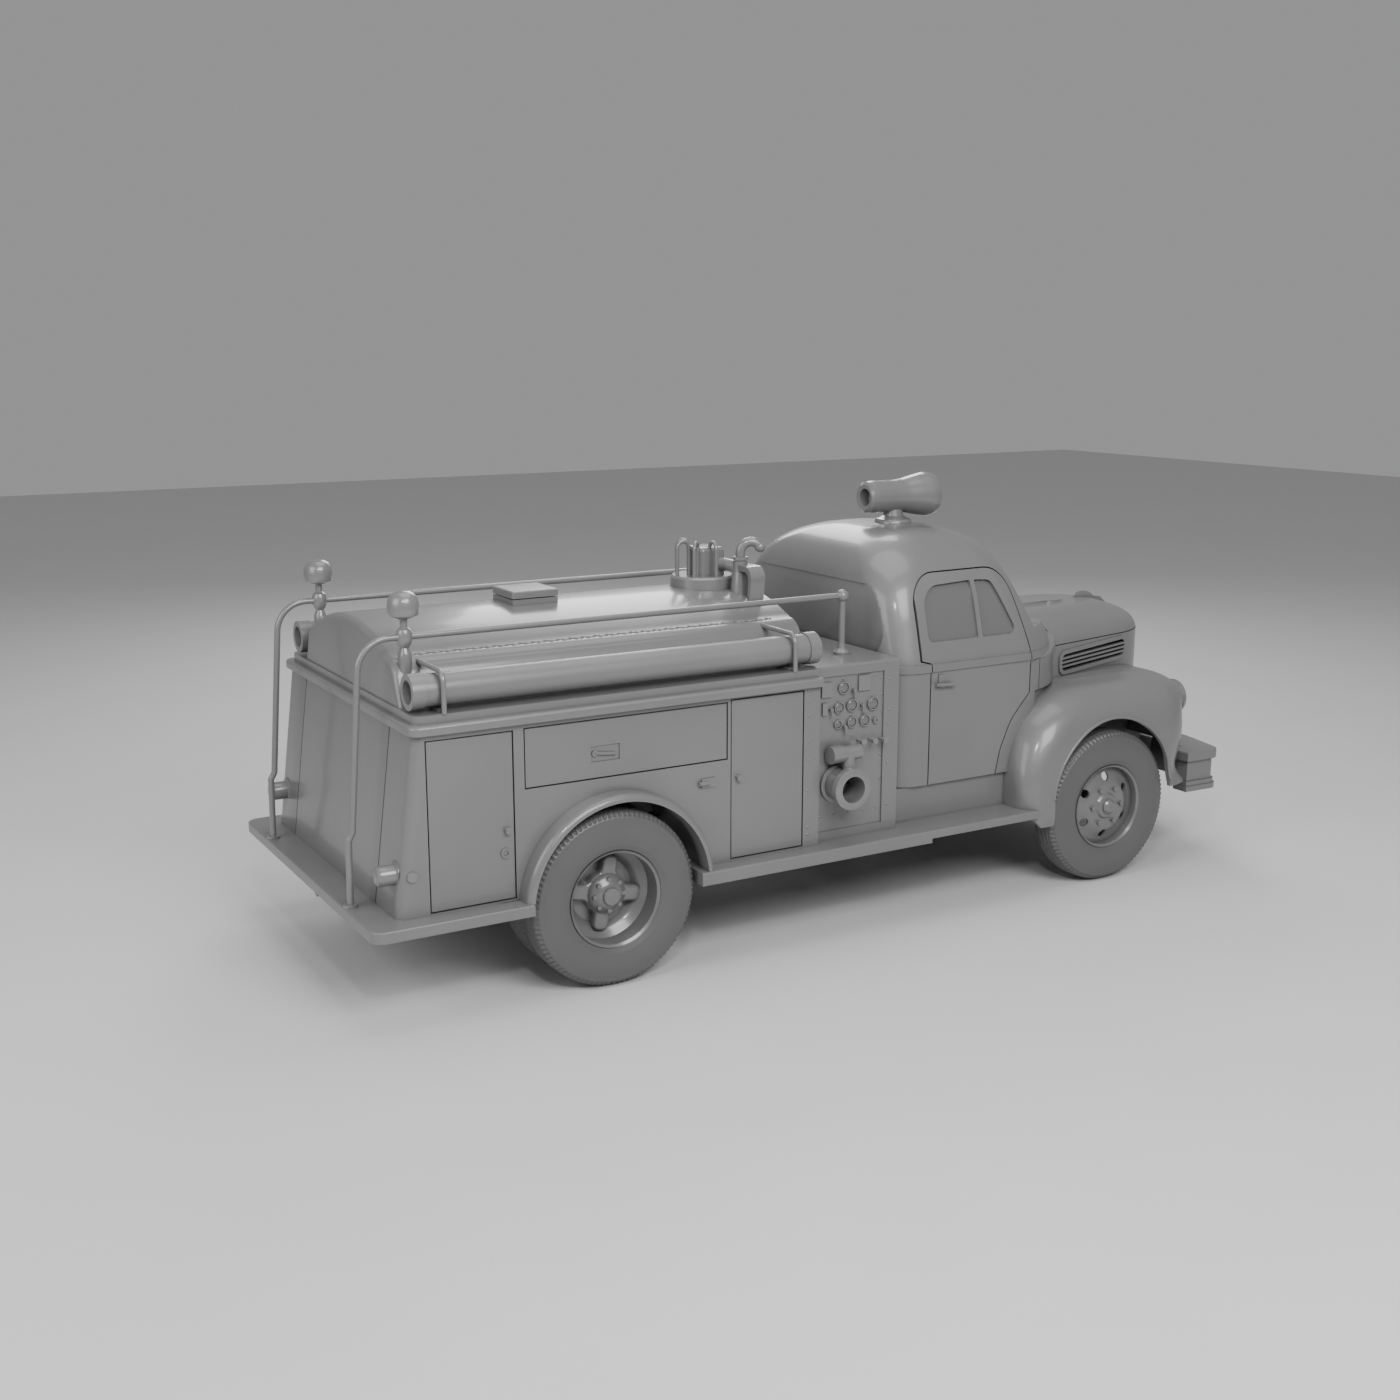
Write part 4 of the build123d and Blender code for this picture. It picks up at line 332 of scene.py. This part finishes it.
# Gauges: columns are x from the rear axle, height and radius
GAUGES = ((1.496, 1.419, 0.036), (1.467, 1.308, 0.033), (1.554, 1.313, 0.036), (1.700, 1.306, 0.038),
          (1.461, 1.213, 0.026), (1.556, 1.216, 0.032), (1.645, 1.216, 0.034))
GAUGE_FACE_Y = PANEL_WALL_Y + 0.010
GAUGE_RIM = 0.0064
GAUGE_DOME = 0.007
faces = [(dome_grid((REAR_AXLE_X + x, side * GAUGE_FACE_Y, z), side, radius - GAUGE_RIM, GAUGE_DOME, 0.0, 32),
          False, True, side > 0) for side in (1, -1) for x, z, radius in GAUGES]
piece("gauge_glasses", faces, "chassis", "glass")


# Seat: mesh size, pressure, shares of the push and sewn channels
PAD_MESH = 0.016
PAD_SHRINK = 0.75
PAD_REACH = 0.7
PAD_PRESSURE = 4.0
PAD_FRAMES = 20
CHANNELS = 9
CHANNEL_WIDTH = 0.012
CHANNEL_DEEP = 0.010


def pad(name, low, high, push):
    """Upholstered block: a smaller box swells under pressure as cloth, by the push at most, with channels.

    The channels are sewn lines across the width; each draws the face in by a bell-shaped groove.
    """
    shrink = np.array((push, push, push)) * PAD_SHRINK
    low, high = np.array(low) + shrink, np.array(high) - shrink
    centre = (low + high) / 2
    bpy.ops.mesh.primitive_cube_add(size=1.0)
    made = bpy.context.object
    made.name = name
    corners = np.empty(8 * 3)
    made.data.vertices.foreach_get("co", corners)
    corners = (corners.reshape(-1, 3) + 0.5) * (high - low) + low
    made.data.vertices.foreach_set("co", corners.ravel())
    remesh = made.modifiers.new("remesh", "REMESH")
    remesh.mode = "VOXEL"
    remesh.voxel_size = PAD_MESH
    bpy.ops.object.modifier_apply(modifier="remesh")
    count = len(made.data.vertices)
    start = np.empty(count * 3)
    made.data.vertices.foreach_get("co", start)
    start = start.reshape(-1, 3)
    cloth = made.modifiers.new("cloth", "CLOTH")
    cloth.settings.use_pressure = True
    cloth.settings.uniform_pressure_force = PAD_PRESSURE
    cloth.settings.effector_weights.gravity = 0.0
    for number in range(1, PAD_FRAMES + 1):
        bpy.context.scene.frame_set(number)
    swollen = made.evaluated_get(bpy.context.evaluated_depsgraph_get()).data
    ended = np.empty(count * 3)
    swollen.vertices.foreach_get("co", ended)
    made.modifiers.remove(cloth)
    move = ended.reshape(-1, 3) - start
    reach = np.linalg.norm(move, axis=1, keepdims=True)
    moved = start + move * np.minimum(1.0, push * PAD_REACH / np.maximum(reach, 1e-9))
    lines = np.linspace(low[1], high[1], CHANNELS + 1)[1:-1]
    groove = np.exp(-((moved[:, 1:2] - lines) / CHANNEL_WIDTH) ** 2).sum(axis=1, keepdims=True)
    outward = (moved - centre) / np.linalg.norm(moved - centre, axis=1, keepdims=True)
    moved = moved - groove * CHANNEL_DEEP * outward
    made.data.vertices.foreach_set("co", moved.ravel())
    smooth = made.modifiers.new("smooth", "SUBSURF")
    smooth.levels = 1
    smooth.render_levels = 1
    made.data.polygons.foreach_set("use_smooth", np.ones(len(made.data.polygons), bool))
    made.data.materials.append(LOOKS["seat_leather"])
    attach(made, "chassis")
    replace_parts(made, "bench_seat")
    return made


pad("seat_cushion", (0.330, -0.640, 0.960), (0.810, 0.640, 1.110), 0.026)
pad("seat_back", (0.315, -0.640, 1.120), (0.435, 0.640, 1.560), 0.022)

# Laced hem along the shoulders of the hose bed cover
HEM_ENDS = (REAR_AXLE_X - 0.900, REAR_AXLE_X + 1.240)
HEM_AT = (0.594, 1.7795)
HEM_RADIUS = 0.006
LACE_PITCH = 0.036
LACE_SWAY = 0.004
HEM_SLOPE = 0.35


def hem_grid(side):
    """Laced cord along x: a circle carried along a line that swells with the sine of the distance."""
    along = np.linspace(HEM_ENDS[0], HEM_ENDS[1], 900)[:, None]
    turn = np.linspace(0.0, 2 * math.pi, 10, endpoint=False)[None, :]
    swell = HEM_RADIUS * (0.75 + 0.45 * np.sin(along * 2 * math.pi / LACE_PITCH))
    swell[0] = 0.0
    swell[-1] = 0.0
    y = side * HEM_AT[0] + LACE_SWAY * np.sin(along * math.pi / LACE_PITCH) + swell * np.cos(turn)
    z = HEM_AT[1] - side * HEM_SLOPE * (y - side * HEM_AT[0]) + swell * np.sin(turn)
    return np.stack((along + 0.0 * turn, y, z), axis=-1)


piece("cover_hems", [(hem_grid(side), False, True, False) for side in (1, -1)], "chassis", "hose_rubber")

# Headlamp lenses with upright flutes
LAMP_AT = (REAR_AXLE_X + 4.162, 0.800, 1.045)
LENS_RADIUS = 0.098
LENS_BACK = 0.070
LENS_RIM = 0.012
LENS_DOME = 0.026
FLUTE_DEEP = 0.0012
FLUTE_WAVES = 420.0


def lens_grid(centre):
    """Closed fluted lens facing forward: a low dome whose height waves across its width."""
    part = np.linspace(1.0, 0.0, 16)
    across = np.concatenate(((0.0, LENS_RADIUS), LENS_RADIUS * part))[:, None]
    turn = np.linspace(0.0, 2 * math.pi, 96, endpoint=False)[None, :]
    y = across * np.cos(turn)
    z = across * np.sin(turn)
    flutes = FLUTE_DEEP * np.cos(FLUTE_WAVES * y) * (across < 0.99 * LENS_RADIUS)
    out = LENS_RIM + LENS_DOME * (1.0 - (across / LENS_RADIUS) ** 2) + flutes
    back = np.arange(len(across))[:, None] < 2
    out = np.where(back, 0.0, out)
    return np.stack((centre[0] + LENS_BACK + out, centre[1] + y, centre[2] + z), axis=-1)


lenses = [(lens_grid((LAMP_AT[0], side * LAMP_AT[1], LAMP_AT[2])), False, True, False) for side in (1, -1)]
piece("headlamp_lenses", lenses, "chassis", "glass")

# Rolled lip round the front wheel arches
FRONT_AXLE_X = REAR_AXLE_X + 3.450
ARCH_RADIUS = 0.480
ARCH_Z = 0.555
LIP_RADIUS = 0.010
ARCH_WITHIN = 0.001
STEP_WITHIN = 0.06
LIP_TURNS = np.radians(np.linspace(3.0, 177.0, 120))


def lip_grid(side):
    """Tube along the arch: a circle carried round the arch's arc, at the outermost skin found by turn.

    The skin lies at the largest distance from the middle plane of the fender's points on the arch, taken in
    steps of turn and joined by straight lines.
    """
    mesh = frame["nodes"]["front_fenders"].data
    points = np.empty(len(mesh.vertices) * 3)
    mesh.vertices.foreach_get("co", points)
    x, y, z = points.reshape(-1, 3).T
    x = x - FRONT_AXLE_X
    z = z - ARCH_Z
    on_arch = (np.abs(np.hypot(x, z) - ARCH_RADIUS) < ARCH_WITHIN) & (z > 0.0) & (y * side > 0.0)
    turns, skin = np.arctan2(z, x)[on_arch], np.abs(y)[on_arch]
    steps = np.radians(np.linspace(0.0, 180.0, 37))
    outermost = np.array([skin[np.abs(turns - step) < STEP_WITHIN].max() for step in steps])
    place = np.interp(LIP_TURNS, steps, outermost)[:, None] - 0.4 * LIP_RADIUS
    around = np.linspace(0.0, 2 * math.pi, 14, endpoint=False)[None, :]
    thick = np.full((len(LIP_TURNS), 1), LIP_RADIUS)
    thick[0] = 0.0
    thick[-1] = 0.0
    radius = ARCH_RADIUS + 0.9 * LIP_RADIUS + thick * np.cos(around)
    turn = LIP_TURNS[:, None]
    return np.stack((FRONT_AXLE_X + radius * np.cos(turn), side * (place + thick * np.sin(around)),
                     ARCH_Z + radius * np.sin(turn)), axis=-1)


piece("arch_lips", [(lip_grid(side), False, True, side < 0) for side in (1, -1)], "chassis", "body_paint")

# Fin of the hood's ornament
FIN_AT = (REAR_AXLE_X + 4.160, 0.0, 1.596)
FIN_HALF = (0.095, 0.013, 0.044)
FIN_SLOPE = math.radians(-9.0)


def fin_grid():
    """Upright fin: an ellipsoid of three half lengths, tilted along the hood."""
    lift = np.linspace(-math.pi / 2, math.pi / 2, 25)[:, None]
    turn = np.linspace(0.0, 2 * math.pi, 28, endpoint=False)[None, :]
    along = FIN_HALF[0] * np.sin(lift) + 0.0 * turn
    across = FIN_HALF[1] * np.cos(lift) * np.cos(turn)
    up = FIN_HALF[2] * np.cos(lift) * np.sin(turn)
    x = FIN_AT[0] + along * math.cos(FIN_SLOPE) - up * math.sin(FIN_SLOPE)
    z = FIN_AT[2] + along * math.sin(FIN_SLOPE) + up * math.cos(FIN_SLOPE)
    return np.stack((x, FIN_AT[1] + across, z), axis=-1)


piece("ornament_fin", [(fin_grid(), False, True, False)], "hood", "bright_metal")

# Ledges between the windscreen's panes and the cowl: columns are distance from the middle, back and front
LEDGE_EDGES = np.array((
    (0.200, 3.150, 3.185), (0.240, 3.136, 3.190), (0.400, 3.097, 3.190), (0.600, 3.049, 3.188),
    (0.660, 3.034, 3.170), (0.700, 3.024, 3.130), (0.735, 3.015, 3.095)))
LEDGE_Z = 1.6105
LEDGE_THICK = 0.0090


def rounded_loop(count):
    """Loop of a rounded rectangle of half size one: cosine and sine, each drawn out by its square root."""
    turn = np.linspace(0.0, 2 * math.pi, count, endpoint=False)[None, :]
    wide, high = np.cos(turn), np.sin(turn)
    return np.sign(wide) * np.sqrt(np.abs(wide)), np.sign(high) * np.sqrt(np.abs(high))


def ledge_grid(side):
    """Flat strip: a rounded rectangle between the back and front edges, carried out from the middle."""
    out = np.linspace(LEDGE_EDGES[0, 0], LEDGE_EDGES[-1, 0], 60)[:, None]
    back = REAR_AXLE_X + np.interp(out, LEDGE_EDGES[:, 0], LEDGE_EDGES[:, 1])
    front = REAR_AXLE_X + np.interp(out, LEDGE_EDGES[:, 0], LEDGE_EDGES[:, 2])
    wide, high = rounded_loop(24)
    size = np.ones_like(out)
    size[0] = 0.0
    size[-1] = 0.0
    x = (back + front) / 2 + size * wide * (front - back) / 2
    z = LEDGE_Z + size * high * LEDGE_THICK / 2
    return np.stack((x, side * out + 0.0 * wide, z), axis=-1)


piece("cowl_ledges", [(ledge_grid(side), False, True, side > 0) for side in (1, -1)], "chassis", "body_paint")

# Splash panels between the cowl's underside and the front fenders
SPLASH_ENDS = (2.962, 3.265)
COWL_SIDE = (2.909, 0.870)
COWL_BEND = (0.140, 1.180)
SPLASH_LOW_Z = 1.100
SPLASH_TOP_Z = 1.236
SPLASH_THICK = 0.008


def splash_grid(side):
    """Upright strip under the cowl's side: a rounded rectangle carried along a curve of the second degree."""
    along = np.linspace(SPLASH_ENDS[0], SPLASH_ENDS[1], 40)[:, None]
    run = along - COWL_SIDE[0]
    out = COWL_SIDE[1] - COWL_BEND[0] * run - COWL_BEND[1] * run ** 2
    wide, high = rounded_loop(24)
    size = np.ones_like(along)
    size[0] = 0.0
    size[-1] = 0.0
    y = out + size * wide * SPLASH_THICK / 2
    z = (SPLASH_LOW_Z + SPLASH_TOP_Z) / 2 + size * high * (SPLASH_TOP_Z - SPLASH_LOW_Z) / 2
    return np.stack((REAR_AXLE_X + along + 0.0 * wide, side * y, z), axis=-1)


splashes = [(splash_grid(side), False, True, side < 0) for side in (1, -1)]
piece("splash_panels", splashes, "chassis", "chassis_paint")

# Floor, light and camera
scene = bpy.context.scene
bpy.ops.mesh.primitive_plane_add(size=60, location=(0, 0, 0))
floor = bpy.context.object
floor.name = "floor"
floor.data.materials.append(material("floor", 0.62, 0.7, bump=0.0, spread=0.01))


def lamp(name, place, target, power, size):
    """Square soft light at a place, turned to a target."""
    data = bpy.data.lights.new(name, "AREA")
    data.energy = power
    data.size = size
    made = bpy.data.objects.new(name, data)
    made.location = place
    made.rotation_mode = "QUATERNION"
    made.rotation_quaternion = (Vector(target) - Vector(place)).to_track_quat("-Z", "Y")
    scene.collection.objects.link(made)
    return made


# Studio lights: columns are name, place, target, power and size
LIGHTS = (("key", (-1.0, -9.0, 7.5), (0.3, 0.0, 0.8), 900, 5.0),
          ("fill", (-9.0, -2.0, 5.0), (0.0, 0.0, 1.0), 320, 5.0),
          ("back", (4.0, 8.0, 7.0), (0.0, 0.0, 1.2), 500, 5.0),
          ("top", (0.0, 0.0, 10.0), (0.0, 0.0, 0.0), 350, 7.0),
          ("spot", (-4.5, -7.0, 6.0), (0.3, -0.5, 1.2), 160, 0.7))
for row in LIGHTS:
    lamp(*row)
world = bpy.data.worlds.new("studio")
world.use_nodes = True
world.node_tree.nodes["Background"].inputs["Color"].default_value = (0.8, 0.8, 0.8, 1.0)
world.node_tree.nodes["Background"].inputs["Strength"].default_value = 0.40
scene.world = world

view = bpy.data.cameras.new("camera")
view.angle = CAMERA_ANGLE
view.clip_end = 200.0
camera = bpy.data.objects.new("camera", view)
camera.location = CAMERA_AT
camera.rotation_euler = CAMERA_TURN
scene.collection.objects.link(camera)
scene.camera = camera
